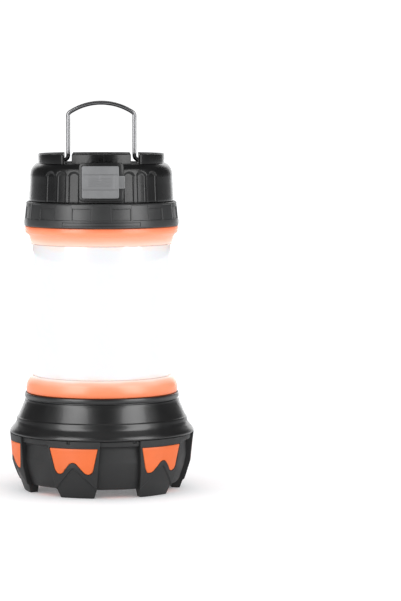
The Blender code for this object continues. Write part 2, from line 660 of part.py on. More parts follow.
def build_collar(tail):
    """Grip ring that carries the thread, with a groove for the seal in its foot."""
    base = UPPER_RING_TOP_Z + GAP
    bore = SPIGOT_R + GAP
    groove_r, groove_top = bore + 1.8 * MM, base + 1.8 * MM
    lathe("collar", [
        (COLLAR_R, base), (COLLAR_R, base + 4.1 * MM), (COLLAR_R - 1.4 * MM, COLLAR_TOP_Z - 1 * MM),
        (COLLAR_R - 2.3 * MM, COLLAR_TOP_Z), (bore, COLLAR_TOP_Z), (bore, groove_top),
        (groove_r, groove_top), (groove_r, base),
    ], "dark_grey", tail)
    lathe("tail_seal", [
        (bore, base), (groove_r - GAP, base), (groove_r - GAP, groove_top - GAP), (bore, groove_top - GAP),
    ], "rubber", tail)


def build_tail_housing(tail):
    """Tail shell with its deck, side blocks, central pad and port frame."""
    base = COLLAR_TOP_Z + GAP
    skirt_r, skirt_base = SPIGOT_R, UPPER_RING_TOP_Z + 10.6 * MM
    cavity_r, cavity_top = TAIL_R - TAIL_WALL, DECK_Z - 4 * MM
    housing = lathe("tail_housing", [
        (0.0, cavity_top), (cavity_r, cavity_top), (cavity_r, skirt_base), (skirt_r, skirt_base),
        (skirt_r, base), (TAIL_R, base), (TAIL_R - 0.6 * MM, DECK_Z - 11.0 * MM),
        (TAIL_R - 0.7 * MM, DECK_Z - 6.5 * MM),
        (TAIL_R - 2.1 * MM, DECK_Z - 2.3 * MM), (TAIL_R - 5.2 * MM, DECK_Z), (0.0, DECK_Z),
    ], "black", tail)
    sunk = DECK_Z - 1 * MM
    outlines = {"pad": pad_outline(), "block_left": block_outline(-1), "block_right": block_outline(1)}
    for name, outline in outlines.items():
        bm = bmesh.new()
        prism(bm, outline, flat, sunk, PAD_TOP_Z)
        boolean(housing, finish(bm, name, "black", tail), "UNION")
    bm = bmesh.new()
    curved_panel(bm, -FRAME_HALF_WIDTH, FRAME_HALF_WIDTH, FLAP_LOW_Z - FRAME_MARGIN,
                 FLAP_HIGH_Z + FRAME_MARGIN, cavity_r + 1 * MM, FRAME_R, 6)
    boolean(housing, finish(bm, "port_frame", "black", tail), "UNION")
    cuts = bmesh.new()
    curved_panel(cuts, -FLAP_LEFT - GAP, FLAP_RIGHT + GAP, FLAP_LOW_Z - GAP, FLAP_HIGH_Z + GAP,
                 RECESS_R, FRAME_R + 4 * MM, 6)
    recess = finish(cuts, "port_recess", "black", tail)
    bm = bmesh.new()
    low, high = strap_z()
    curved_panel(bm, 0.0, FRAME_HALF_WIDTH + 6 * MM, low - GAP, high + GAP, RECESS_R, FRAME_R + 4 * MM, 4)
    strap_way = finish(bm, "strap_way", "black", tail)
    bm = bmesh.new()
    side = USB_A_SIZE[0] / 2 + GAP
    block(bm, (-side, -TAIL_R - 5 * MM, BOARD_Z - GAP - USB_A_SIZE[2] - GAP),
          (side, -cavity_r + 6 * MM, BOARD_Z + BOARD_T + 2 * GAP + MICRO_USB_SIZE[2]))
    window = finish(bm, "port_window", "black", tail)
    bm = bmesh.new()
    hole = WIRE_R + PIN_CLEARANCE
    depth = BAIL_HALF_WIDTH + BAIL_END + 0.6 * MM
    for way in (-1, 1):
        rod(bm, (way * (PAD_HALF_WIDTH + 2 * MM), 0, BAIL_PIVOT_Z), (way * depth, 0, BAIL_PIVOT_Z), hole, 12)
    pin_holes = finish(bm, "bail_pin_holes", "black", tail)
    well_z = PAD_TOP_Z - 5.4 * MM
    well = lathe("button_well", [
        (0.0, cavity_top - 1 * MM), (STEM_R + GAP, cavity_top - 1 * MM), (STEM_R + GAP, well_z),
        (BUTTON_R + GAP, well_z), (BUTTON_R + GAP, PAD_TOP_Z + 2 * MM), (0.0, PAD_TOP_Z + 2 * MM),
    ], "black", tail, INNER_SEGMENTS)
    for tool in (recess, strap_way, window, pin_holes, well):
        boolean(housing, tool, "DIFFERENCE")


def build_port_cover(tail):
    bm = bmesh.new()
    outer = RECESS_R + GAP + FLAP_SKIN
    curved_panel(bm, -FLAP_LEFT, FLAP_RIGHT, FLAP_LOW_Z, FLAP_HIGH_Z, RECESS_R + GAP, outer, 6)
    cover = finish(bm, "port_cover", "grey_rubber", tail)
    bm = bmesh.new()
    low, high = strap_z()
    curved_panel(bm, FLAP_RIGHT - 2 * MM, FLAP_RIGHT + STRAP_REACH, low, high, RECESS_R + GAP, outer, 2)
    boolean(cover, finish(bm, "port_strap", "grey_rubber", tail), "UNION")
    angle = math.asin((FLAP_RIGHT + STRAP_REACH) / TAIL_R)
    return cover, polar(angle, outer, (FLAP_LOW_Z + FLAP_HIGH_Z) / 2)


def build_button(tail):
    low = PAD_TOP_Z - 5.4 * MM + BUTTON_TRAVEL + GAP
    top = PAD_TOP_Z - BUTTON_SUNK
    stem_low = BOARD_Z + BOARD_T + GAP + 4.0 * MM + BUTTON_TRAVEL + GAP
    return lathe("power_button", [
        (0.0, stem_low), (STEM_R, stem_low), (STEM_R, low), (BUTTON_R, low), (BUTTON_R, top - 0.8 * MM),
        (BUTTON_R - 0.8 * MM, top), (0.0, top),
    ], "rubber", tail, INNER_SEGMENTS)


def build_bail(tail):
    bm = bmesh.new()
    tube(bm, bail_outline(), WIRE_R)
    bail = finish(bm, "bail", "steel", tail)
    bail.data.transform(Matrix.Translation((0, 0, BAIL_PIVOT_Z)))
    move(bail, (0.0, 0.0, BAIL_PIVOT_Z))


def build_electrics(tail, contact_top):
    cavity_r = TAIL_R - TAIL_WALL
    cell_z = contact_top + 2.8 * MM + CELL_R
    for number, side in enumerate((-1, 1), 1):
        bm = bmesh.new()
        y = side * (CELL_R + GAP / 2)
        rod(bm, (-CELL_LENGTH / 2, y, cell_z), (CELL_LENGTH / 2, y, cell_z), CELL_R, 16)
        finish(bm, f"battery_cell_{number}", "cell", tail)
        bm = bmesh.new()
        x = side * 25 * MM
        rod(bm, (x, 0, contact_top + GAP), (x, 0, contact_top + 4.6 * MM), 2.5 * MM, 12)
        finish(bm, f"contact_spring_{number}", "steel", tail)
    bm = bmesh.new()
    near, far = CELL_LENGTH / 2 + GAP, CELL_LENGTH / 2 + GAP + 1.3 * MM
    low, under, top = cell_z - 8 * MM, cell_z + CELL_R + GAP, cell_z + CELL_R + GAP + 2 * MM
    outline = [(-far, low), (-near, low), (-near, under), (near, under), (near, low), (far, low),
               (far, top), (-far, top)]
    prism(bm, outline, lambda u, v, depth: (u, depth, v), -12 * MM, 12 * MM)
    finish(bm, "battery_holder", "black", tail, smooth=False)
    board = lathe("usb_board", [
        (0.0, BOARD_Z), (cavity_r - 2 * GAP, BOARD_Z), (cavity_r - 2 * GAP, BOARD_Z + BOARD_T),
        (0.0, BOARD_Z + BOARD_T),
    ], "board", tail, INNER_SEGMENTS)
    front = -RECESS_R + 2.4 * MM
    bm = bmesh.new()
    wide, deep, tall = USB_A_SIZE
    block(bm, (-wide / 2, front, BOARD_Z - GAP - tall), (wide / 2, front + deep, BOARD_Z - GAP))
    finish(bm, "usb_a_socket", "steel", tail, smooth=False)
    bm = bmesh.new()
    wide, deep, tall = MICRO_USB_SIZE
    low = BOARD_Z + BOARD_T + GAP
    block(bm, (-wide / 2, front, low), (wide / 2, front + deep, low + tall))
    finish(bm, "micro_usb_socket", "steel", tail, smooth=False)
    bm = bmesh.new()
    block(bm, (-3 * MM, -3 * MM, low), (3 * MM, 3 * MM, low + 4 * MM))
    finish(bm, "tact_switch", "black", tail, smooth=False)
    holes = bmesh.new()
    for number, side in enumerate((-1, 1), 1):
        x = side * 22 * MM
        rod(holes, (x, 8 * MM, BOARD_Z - 4 * MM), (x, 8 * MM, BOARD_Z + 6 * MM), 1.2 * MM + GAP, 12)
        bm = bmesh.new()
        rod(bm, (x, 8 * MM, BOARD_Z - GAP - 1 * MM), (x, 8 * MM, BOARD_Z + 6 * MM), 1.2 * MM, 12)
        finish(bm, f"board_screw_{number}", "steel", tail)
    boolean(board, finish(holes, "board_holes", "board", tail), "DIFFERENCE")


def build_tail(tail, contact_top):
    build_collar(tail)
    build_tail_housing(tail)
    cover, hinge = build_port_cover(tail)
    move(cover, hinge)
    button = build_button(tail)
    move(button, (0.0, 0.0, PAD_TOP_Z))
    build_bail(tail)
    build_electrics(tail, contact_top)


def main():
    clear_scene()
    lamp = bpy.data.objects.new("lamp_origin", None)
    lamp.location = (0.0, CENTRE_Y, 0.0)
    bpy.context.collection.objects.link(lamp)
    tail = bpy.data.objects.new("tail_origin", None)
    tail.parent = lamp
    tail.rotation_euler.z = TAIL_CLOCK
    bpy.context.collection.objects.link(tail)
    build_bumper(lamp)
    build_torch(lamp)
    build_housing(lamp)
    contact_top = build_lantern(lamp)
    build_handle(lamp)
    build_tail(tail, contact_top)


main()
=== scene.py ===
"""Looks of the lantern torch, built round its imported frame.

The lamp's own axis is upright. Lamp coordinates have it as their Z axis; tail coordinates are turned
with the screwed-on tail, so that the charging port lies straight ahead, toward -Y.
Lengths are in metres and written in millimetres times MM.
"""

import json
import math

import bmesh
import bpy
from mathutils import Matrix, Vector


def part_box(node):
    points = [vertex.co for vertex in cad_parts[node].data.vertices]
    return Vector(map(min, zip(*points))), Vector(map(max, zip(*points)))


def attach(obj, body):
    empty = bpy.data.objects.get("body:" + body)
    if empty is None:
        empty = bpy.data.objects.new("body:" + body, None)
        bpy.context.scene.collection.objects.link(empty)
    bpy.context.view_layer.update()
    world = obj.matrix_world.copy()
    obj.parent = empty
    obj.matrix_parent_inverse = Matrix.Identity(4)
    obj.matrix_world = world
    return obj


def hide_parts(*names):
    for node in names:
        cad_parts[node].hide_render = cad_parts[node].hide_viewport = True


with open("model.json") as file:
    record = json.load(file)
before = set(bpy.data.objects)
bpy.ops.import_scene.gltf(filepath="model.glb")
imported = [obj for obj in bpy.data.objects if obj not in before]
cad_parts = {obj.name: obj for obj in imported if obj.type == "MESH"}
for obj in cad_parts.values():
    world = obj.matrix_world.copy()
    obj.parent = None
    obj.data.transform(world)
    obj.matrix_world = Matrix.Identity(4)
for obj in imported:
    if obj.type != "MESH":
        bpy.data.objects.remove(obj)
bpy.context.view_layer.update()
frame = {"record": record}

MM = 0.001
FINE = 192  # steps in a full turn of a large round piece
MEDIUM = 96
SMALL = 48

# Places read from the frame
AXIS_Y = sum(corner.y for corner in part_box("diffuser")) / 2
JOINTS = {joint["name"]: joint for joint in frame["record"]["behaviour"]["joints"]}
BAIL_AXIS = JOINTS["bail_swing"]["axis"]
TAIL_TURN = math.atan2(BAIL_AXIS[1], BAIL_AXIS[0])
BAIL_PIVOT_Z = JOINTS["bail_swing"]["pos_m"][2]
LAMP = Matrix.Translation((0.0, AXIS_Y, 0.0))
TAIL = LAMP @ Matrix.Rotation(TAIL_TURN, 4, "Z")


def top(node):
    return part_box(node)[1].z


def foot(node):
    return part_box(node)[0].z


def reach(node):
    """Largest radius of a round node, read along X."""
    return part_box(node)[1].x


LUGS = 6
LUG_ANGLES = [math.radians(30 + 60 * i) for i in range(LUGS)]
GAP_ANGLES = [math.radians(60 * i) for i in range(LUGS)]

# ---------------------------------------------------------------- shader groups


def new_group(name, inputs, outputs):
    group = bpy.data.node_groups.new(name, "ShaderNodeTree")
    for label, kind, value in inputs:
        socket = group.interface.new_socket(name=label, in_out="INPUT", socket_type=kind)
        if value is not None:
            socket.default_value = value
    for label, kind in outputs:
        group.interface.new_socket(name=label, in_out="OUTPUT", socket_type=kind)
    return group, group.nodes.new("NodeGroupInput"), group.nodes.new("NodeGroupOutput")


def add_node(tree, kind, settings=None, values=None):
    node = tree.nodes.new(kind)
    for key, value in (settings or {}).items():
        setattr(node, key, value)
    for key, value in (values or {}).items():
        node.inputs[key].default_value = value
    return node


def grain_group():
    """Fine moulded grain with soft mottling: a height and a tone mask."""
    group, given, out = new_group(
        "moulded_grain",
        [("Size", "NodeSocketFloat", 2500.0), ("Mottle", "NodeSocketFloat", 60.0)],
        [("Height", "NodeSocketFloat"), ("Tone", "NodeSocketFloat")],
    )
    place = add_node(group, "ShaderNodeTexCoord")
    fine = add_node(group, "ShaderNodeTexNoise", values={"Detail": 3.0, "Roughness": 0.6})
    broad = add_node(group, "ShaderNodeTexNoise", values={"Detail": 4.0, "Roughness": 0.55})
    link = group.links.new
    link(place.outputs["Object"], fine.inputs["Vector"])
    link(place.outputs["Object"], broad.inputs["Vector"])
    link(given.outputs["Size"], fine.inputs["Scale"])
    link(given.outputs["Mottle"], broad.inputs["Scale"])
    link(fine.outputs["Fac"], out.inputs["Height"])
    link(broad.outputs["Fac"], out.inputs["Tone"])
    return group


def wear_group():
    """Mask of rubbed edges: where the surface turns sharply, broken up by noise."""
    group, given, out = new_group(
        "edge_wear",
        [("Amount", "NodeSocketFloat", 0.5), ("Break-up", "NodeSocketFloat", 300.0)],
        [("Mask", "NodeSocketFloat")],
    )
    place = add_node(group, "ShaderNodeTexCoord")
    shape = add_node(group, "ShaderNodeNewGeometry")
    edge = add_node(group, "ShaderNodeMapRange", values={"From Min": 0.52, "From Max": 0.62})
    noise = add_node(group, "ShaderNodeTexNoise", values={"Detail": 5.0, "Roughness": 0.65})
    patch = add_node(group, "ShaderNodeMapRange", values={"From Min": 0.42, "From Max": 0.62})
    both = add_node(group, "ShaderNodeMath", {"operation": "MULTIPLY"})
    scaled = add_node(group, "ShaderNodeMath", {"operation": "MULTIPLY", "use_clamp": True})
    link = group.links.new
    link(shape.outputs["Pointiness"], edge.inputs["Value"])
    link(place.outputs["Object"], noise.inputs["Vector"])
    link(given.outputs["Break-up"], noise.inputs["Scale"])
    link(noise.outputs["Fac"], patch.inputs["Value"])
    link(edge.outputs["Result"], both.inputs[0])
    link(patch.outputs["Result"], both.inputs[1])
    link(both.outputs[0], scaled.inputs[0])
    link(given.outputs["Amount"], scaled.inputs[1])
    link(scaled.outputs[0], out.inputs["Mask"])
    return group


def dust_group():
    """Mask of fine dust specks and faint handling smears."""
    group, given, out = new_group(
        "dust_and_smears",
        [("Amount", "NodeSocketFloat", 0.2), ("Size", "NodeSocketFloat", 900.0)],
        [("Mask", "NodeSocketFloat"), ("Smear", "NodeSocketFloat")],
    )
    place = add_node(group, "ShaderNodeTexCoord")
    specks = add_node(group, "ShaderNodeTexVoronoi", {"feature": "F1"})
    dots = add_node(group, "ShaderNodeMapRange", values={"From Min": 0.1, "From Max": 0.04})
    scattered = add_node(group, "ShaderNodeTexNoise", values={"Scale": 90.0, "Detail": 3.0})
    field = add_node(group, "ShaderNodeMapRange", values={"From Min": 0.5, "From Max": 0.68})
    both = add_node(group, "ShaderNodeMath", {"operation": "MULTIPLY"})
    scaled = add_node(group, "ShaderNodeMath", {"operation": "MULTIPLY"})
    smear = add_node(group, "ShaderNodeTexNoise", values={"Scale": 35.0, "Detail": 6.0, "Distortion": 1.2})
    link = group.links.new
    for texture in (specks, scattered, smear):
        link(place.outputs["Object"], texture.inputs["Vector"])
    link(given.outputs["Size"], specks.inputs["Scale"])
    link(specks.outputs["Distance"], dots.inputs["Value"])
    link(scattered.outputs["Fac"], field.inputs["Value"])
    link(dots.outputs["Result"], both.inputs[0])
    link(field.outputs["Result"], both.inputs[1])
    link(both.outputs[0], scaled.inputs[0])
    link(given.outputs["Amount"], scaled.inputs[1])
    link(scaled.outputs[0], out.inputs["Mask"])
    link(smear.outputs["Fac"], out.inputs["Smear"])
    return group


GRAIN = grain_group()
WEAR = wear_group()
DUST = dust_group()

# ---------------------------------------------------------------- materials


def shader_of(name):
    made = bpy.data.materials.new(name)
    made.use_nodes = True
    return made, made.node_tree, made.node_tree.nodes["Principled BSDF"]


def place_group(tree, group, values):
    node = tree.nodes.new("ShaderNodeGroup")
    node.node_tree = group
    for key, value in values.items():
        node.inputs[key].default_value = value
    return node


def mixed(tree, mask, low, high):
    """A colour between two others; each end is a colour or a socket."""
    node = add_node(tree, "ShaderNodeMix", {"data_type": "RGBA"})
    tree.links.new(mask, node.inputs["Factor"])
    for socket, end in ((node.inputs["A"], low), (node.inputs["B"], high)):
        if isinstance(end, tuple):
            socket.default_value = (*end, 1.0)
        else:
            tree.links.new(end, socket)
    return node.outputs["Result"]


def spread(tree, value, low, high, start=0.3, stop=0.7):
    """A number mapped from a mask onto low..high."""
    node = add_node(tree, "ShaderNodeMapRange", values={
        "From Min": start, "From Max": stop, "To Min": low, "To Max": high,
    })
    tree.links.new(value, node.inputs["Value"])
    return node.outputs["Result"]


def bumped(tree, shader, height, strength, distance):
    node = add_node(tree, "ShaderNodeBump", values={"Strength": strength, "Distance": distance})
    tree.links.new(height, node.inputs["Height"])
    tree.links.new(node.outputs["Normal"], shader.inputs["Normal"])


def moulded(name, colour, rough, grain, bump, wear=0.3, dust=0.1, coat=0.0, tint=1.5, gloss=0.5):
    """Moulded plastic or rubber: mottled tone, grain, rubbed edges and a little dust."""
    made, tree, shader = shader_of(name)
    texture = place_group(tree, GRAIN, {"Size": grain, "Mottle": 45.0})
    edges = place_group(tree, WEAR, {"Amount": wear, "Break-up": 280.0})
    dusty = place_group(tree, DUST, {"Amount": dust, "Size": 800.0})
    lighter = tuple(min(1.0, c * tint) for c in colour)
    rubbed = tuple(min(1.0, c * 2.2 + 0.02) for c in colour)
    tone = mixed(tree, texture.outputs["Tone"], tuple(c * 0.85 for c in colour), lighter)
    worn = mixed(tree, edges.outputs["Mask"], tone, rubbed)
    final = mixed(tree, dusty.outputs["Mask"], worn, (0.5, 0.48, 0.46))
    tree.links.new(final, shader.inputs["Base Color"])
    roughness = spread(tree, dusty.outputs["Smear"], rough * 0.86, min(1.0, rough * 1.16))
    tree.links.new(roughness, shader.inputs["Roughness"])
    bumped(tree, shader, texture.outputs["Height"], 1.0, bump)
    shader.inputs["Specular IOR Level"].default_value = gloss
    if coat:
        shader.inputs["Coat Weight"].default_value = coat
        shader.inputs["Coat Roughness"].default_value = 0.08
    return made


def metal(name, colour, rough, streak_scale, bump):
    """Drawn or turned metal with fine streaks along its length."""
    made, tree, shader = shader_of(name)
    place = add_node(tree, "ShaderNodeTexCoord")
    stretch = add_node(tree, "ShaderNodeMapping", values={"Scale": streak_scale})
    lines = add_node(tree, "ShaderNodeTexNoise", values={"Scale": 1.0, "Detail": 5.0, "Roughness": 0.7})
    tree.links.new(place.outputs["Object"], stretch.inputs["Vector"])
    tree.links.new(stretch.outputs["Vector"], lines.inputs["Vector"])
    dusty = place_group(tree, DUST, {"Amount": 0.1, "Size": 160.0})
    tone = mixed(tree, lines.outputs["Fac"], tuple(c * 0.86 for c in colour), colour)
    tree.links.new(tone, shader.inputs["Base Color"])
    roughness = spread(tree, dusty.outputs["Smear"], rough * 0.88, rough * 1.15)
    tree.links.new(roughness, shader.inputs["Roughness"])
    shader.inputs["Metallic"].default_value = 1.0
    bumped(tree, shader, lines.outputs["Fac"], 0.6, bump)
    return made


def glowing(name, stops, low_z, high_z, strength, rough, deep=0.06, coat=0.0):
    """Translucent moulding lit from inside; its colour runs with height through stops of (place, colour) and
    feeds both base and emission colour, so light from neighbouring parts is painted in with it.
    """
    made, tree, shader = shader_of(name)
    place = add_node(tree, "ShaderNodeTexCoord")
    split = add_node(tree, "ShaderNodeSeparateXYZ")
    height = add_node(tree, "ShaderNodeMapRange", values={"From Min": low_z, "From Max": high_z})
    stretch = add_node(tree, "ShaderNodeMapping", values={"Scale": (55.0, 55.0, 240.0)})
    cloud = add_node(tree, "ShaderNodeTexNoise", values={"Scale": 1.0, "Detail": 3.0, "Roughness": 0.5})
    drift = add_node(tree, "ShaderNodeMath", {"operation": "MULTIPLY_ADD"}, {1: 0.16, 2: -0.08})
    shifted = add_node(tree, "ShaderNodeMath", {"operation": "ADD", "use_clamp": True})
    ramp = add_node(tree, "ShaderNodeValToRGB")
    for number, (position, colour) in enumerate(stops):
        elements = ramp.color_ramp.elements
        element = elements[number] if number < 2 else elements.new(position)
        element.position = position
        element.color = (*colour, 1.0)
    link = tree.links.new
    link(place.outputs["Object"], split.inputs["Vector"])
    link(place.outputs["Object"], stretch.inputs["Vector"])
    link(stretch.outputs["Vector"], cloud.inputs["Vector"])
    link(split.outputs["Z"], height.inputs["Value"])
    link(cloud.outputs["Fac"], drift.inputs[0])
    link(height.outputs["Result"], shifted.inputs[0])
    link(drift.outputs[0], shifted.inputs[1])
    link(shifted.outputs[0], ramp.inputs["Fac"])
    link(ramp.outputs["Color"], shader.inputs["Base Color"])
    link(ramp.outputs["Color"], shader.inputs["Emission Color"])
    shader.inputs["Emission Strength"].default_value = strength
    shader.inputs["Subsurface Weight"].default_value = deep
    shader.inputs["Subsurface Scale"].default_value = 0.002
    shader.inputs["Coat Weight"].default_value = coat
    grain = place_group(tree, GRAIN, {"Size": 1800.0, "Mottle": 40.0})
    link(spread(tree, grain.outputs["Tone"], rough * 0.8, rough * 1.2), shader.inputs["Roughness"])
    bumped(tree, shader, grain.outputs["Height"], 1.0, 0.00001)
    return made


def clear_lens():
    made, tree, shader = shader_of("clear_lens")
    shader.inputs["Base Color"].default_value = (0.93, 0.97, 1.0, 1.0)
    shader.inputs["Transmission Weight"].default_value = 1.0
    shader.inputs["IOR"].default_value = 1.49
    dusty = place_group(tree, DUST, {"Amount": 0.3, "Size": 700.0})
    tree.links.new(spread(tree, dusty.outputs["Smear"], 0.01, 0.06), shader.inputs["Roughness"])
    grain = place_group(tree, GRAIN, {"Size": 300.0, "Mottle": 30.0})
    bumped(tree, shader, grain.outputs["Height"], 0.3, 0.00001)
    return made


def speckled_board():
    """Solder mask with tracks and bright pads."""
    made, tree, shader = shader_of("circuit_board")
    place = add_node(tree, "ShaderNodeTexCoord")
    cells = add_node(tree, "ShaderNodeTexVoronoi", {"distance": "CHEBYCHEV"}, {"Scale": 320.0})
    tracks = add_node(tree, "ShaderNodeMapRange", values={"From Min": 0.42, "From Max": 0.46})
    pads = add_node(tree, "ShaderNodeMapRange", values={"From Min": 0.09, "From Max": 0.07})
    tree.links.new(place.outputs["Object"], cells.inputs["Vector"])
    tree.links.new(cells.outputs["Distance"], tracks.inputs["Value"])
    tree.links.new(cells.outputs["Distance"], pads.inputs["Value"])
    green = mixed(tree, tracks.outputs["Result"], (0.012, 0.11, 0.04), (0.03, 0.2, 0.08))
    tree.links.new(mixed(tree, pads.outputs["Result"], green, (0.7, 0.66, 0.5)), shader.inputs["Base Color"])
    tree.links.new(spread(tree, cells.outputs["Distance"], 0.3, 0.5), shader.inputs["Roughness"])
    bumped(tree, shader, tracks.outputs["Result"], 0.8, 0.00004)
    return made


PALE_ORANGE = (0.8, 0.3, 0.16)
DEEP_ORANGE = (0.78, 0.17, 0.06)
TUBE_WHITE = (0.785, 0.785, 0.8)
RING_GLOW = 0.22  # emission of the two orange rings
TUBE_GLOW = 0.13
TUBE_END = 6 * MM  # length at each end that the rings hide, and where their orange glow is painted onto the tube
MATERIALS = {
    "bumper_rubber": moulded("bumper_rubber", (0.0118, 0.012, 0.0122), 0.55, 2600.0, 0.00004,
                             dust=0.05, gloss=0.42),
    "grip_grey": moulded("grip_grey", (0.017, 0.0173, 0.0176), 0.4, 2200.0, 0.00002, wear=0.2, dust=0.06),
    "cover_rubber": moulded("cover_rubber", (0.175, 0.175, 0.177), 0.6, 3000.0, 0.00004, wear=0.2, tint=1.2),
    "gloss_black": moulded("gloss_black", (0.0065, 0.0065, 0.0067), 0.33, 1400.0, 0.000006,
                           wear=0.15, dust=0.08, coat=0.12),
    # Painted shade: a darker, less glossy copy of gloss_black for the tail shell, which is the same plastic
    # as the neck but faces the lights squarely.
    "shaded_tail_black": moulded("shaded_tail_black", (0.0055, 0.0055, 0.0057), 0.28, 1400.0, 0.000003,
                          wear=0.06, dust=0.03, coat=0.06, gloss=0.28),
    "inner_black": moulded("inner_black", (0.018, 0.018, 0.018), 0.5, 1800.0, 0.00003),
    "button_rubber": moulded("button_rubber", (0.02, 0.02, 0.021), 0.6, 3000.0, 0.00003, wear=0.1),
    "insert_orange": moulded("insert_orange", (0.9, 0.155, 0.02), 0.5, 2000.0, 0.00002,
                             wear=0.1, dust=0.06, tint=1.12),
    # Painted shade: a darker copy of insert_orange for the sunk floor of each face inlay's pocket.
    "shaded_pocket_orange": moulded("shaded_pocket_orange", (0.72, 0.11, 0.025), 0.5, 2000.0, 0.00002, wear=0.0, tint=1.1),
    # Painted light: each ring's pale stops, next to the lit tube, are the tube's light painted into the
    # ring's base and emission colour.
    "lower_ring_glow": glowing("lower_ring_glow", [
        (0.0, DEEP_ORANGE), (0.25, (0.79, 0.23, 0.095)), (0.6, PALE_ORANGE), (0.85, (0.82, 0.46, 0.33)),
        (1.0, (0.85, 0.74, 0.68)),
    ], foot("lower_ring"), top("lower_ring"), RING_GLOW, 0.35),
    "upper_ring_glow": glowing("upper_ring_glow", [
        (0.0, (0.84, 0.6, 0.5)), (0.3, (0.81, 0.38, 0.25)), (0.7, (0.8, 0.27, 0.13)), (1.0, DEEP_ORANGE),
    ], foot("upper_ring"), top("upper_ring"), RING_GLOW, 0.35),
    # Painted light: the pinkish stops at the tube's ends are the rings' orange glow painted into its base and
    # emission colour.
    "lit_diffuser": glowing("lit_diffuser", [
        (0.0, (0.84, 0.72, 0.67)), (0.05, TUBE_WHITE), (0.95, TUBE_WHITE), (1.0, (0.84, 0.75, 0.71)),
    ], foot("diffuser") + TUBE_END, top("diffuser") - TUBE_END, TUBE_GLOW, 0.4, deep=0.2, coat=1.0),
    "bail_steel": metal("bail_steel", (0.2, 0.2, 0.205), 0.22, (90.0, 90.0, 15.0), 0.0000002),
    "bare_steel": metal("bare_steel", (0.62, 0.62, 0.63), 0.3, (900.0, 900.0, 3000.0), 0.00001),
    "socket_steel": metal("socket_steel", (0.16, 0.16, 0.165), 0.42, (500.0, 500.0, 900.0), 0.000003),
    "bright_chrome": metal("bright_chrome", (0.9, 0.9, 0.92), 0.07, (260.0, 260.0, 260.0), 0.00001),
    "machined_aluminium": metal("machined_aluminium", (0.62, 0.63, 0.65), 0.35, (300.0, 300.0, 3000.0),
                                0.00002),
    "contact_brass": metal("contact_brass", (0.72, 0.52, 0.22), 0.3, (1500.0, 300.0, 300.0), 0.00001),
    "cell_sleeve": moulded("cell_sleeve", (0.05, 0.17, 0.42), 0.35, 1500.0, 0.00001, wear=0.1, tint=1.2),
    "phosphor": moulded("phosphor", (0.85, 0.62, 0.12), 0.3, 1500.0, 0.00001, wear=0.0, tint=1.1),
    "clear_lens": clear_lens(),
    "circuit_board": speckled_board(),
}

# ---------------------------------------------------------------- mesh helpers


def polar(angle, radius, z):
    """A point by its angle from -Y toward +X."""
    return Vector((radius * math.sin(angle), -radius * math.cos(angle), z))


def angle_of(point):
    return math.atan2(point.x, -point.y)


def ease(value, start, stop):
    """0 below start, 1 above stop, smooth between; start may be the larger."""
    share = min(1.0, max(0.0, (value - start) / (stop - start)))
    return share * share * (3 - 2 * share)


def soften(bm, geom, width, segments=2, affect="EDGES"):
    """Round edges, or the corners of a flat outline."""
    bmesh.ops.bevel(bm, geom=geom, offset=width, segments=segments, profile=0.5, affect=affect, material=-1)


def extrude(bm, faces=None):
    """Extrude faces, all of them unless some are given; returns the new vertices."""
    grown = bmesh.ops.extrude_face_region(bm, geom=faces or bm.faces[:])["geom"]
    return [item for item in grown if isinstance(item, bmesh.types.BMVert)]


def split(bm, place, normal):
    """Add edges where a plane crosses the mesh."""
    bmesh.ops.bisect_plane(bm, geom=bm.verts[:] + bm.edges[:] + bm.faces[:], dist=1e-7,
                           plane_co=place, plane_no=normal)


def sliced(bm, positions, normal):
    """Split a bmesh by parallel planes, so that it can bend smoothly."""
    for position in positions:
        split(bm, Vector(normal) * position, normal)


def front_rim(bm, depth=0.0):
    """The edges round the front of an extruded outline."""
    return [e for e in bm.edges if all(abs(v.co.y - depth) < 1e-7 for v in e.verts)
            and e.calc_face_angle(0) > 1]


def rounded_outline(points, fillet, segments=3):
    """A bmesh with one face in the XZ plane, its corners rounded. A third value is a corner's own fillet."""
    bm = bmesh.new()
    verts = [bm.verts.new((point[0], 0.0, point[1])) for point in points]
    bm.faces.new(verts)
    fillets = [point[2] if len(point) > 2 else fillet for point in points]
    for vert, radius in zip(verts, fillets):
        if radius > 0:
            soften(bm, [vert], radius, segments, "VERTICES")
    return bm


def spun(points, steps, fillet=0.3 * MM, slices=()):
    """Turn a rounded outline about Z. Slices are heights at which the outline gets extra points."""
    bm = rounded_outline(points, fillet)
    bmesh.ops.delete(bm, geom=bm.faces[:], context="FACES_ONLY")
    for height in slices:
        bmesh.ops.bisect_plane(bm, geom=bm.verts[:] + bm.edges[:], plane_co=(0, 0, height),
                               plane_no=(0, 0, 1))
    on_axis = [edge for edge in bm.edges if all(vert.co.x < 1e-7 for vert in edge.verts)]
    bmesh.ops.delete(bm, geom=on_axis, context="EDGES")
    bmesh.ops.spin(bm, geom=bm.verts[:] + bm.edges[:], cent=(0, 0, 0), axis=(0, 0, 1),
                   angle=2 * math.pi, steps=steps, use_merge=True)
    bmesh.ops.remove_doubles(bm, verts=bm.verts, dist=1e-6)
    bmesh.ops.recalc_face_normals(bm, faces=bm.faces)
    return bm


CRISP = 0.0001 * MM  # rim of a plate that is left sharp


def plate(points, low, high, fillet, edge, segments=3):
    """A flat plate between two heights, its plan outline rounded and its rims softened."""
    bm = bmesh.new()
    verts = [bm.verts.new((x, y, low)) for x, y in points]
    bm.faces.new(verts)
    if fillet > 0:
        soften(bm, verts, fillet, 4, "VERTICES")
    bmesh.ops.translate(bm, vec=(0, 0, high - low), verts=extrude(bm))
    bmesh.ops.recalc_face_normals(bm, faces=bm.faces)
    rims = [e for e in bm.edges if abs(e.verts[0].co.z - e.verts[1].co.z) < 1e-9 and e.calc_face_angle(0) > 1]
    soften(bm, rims, edge, segments)
    return bm


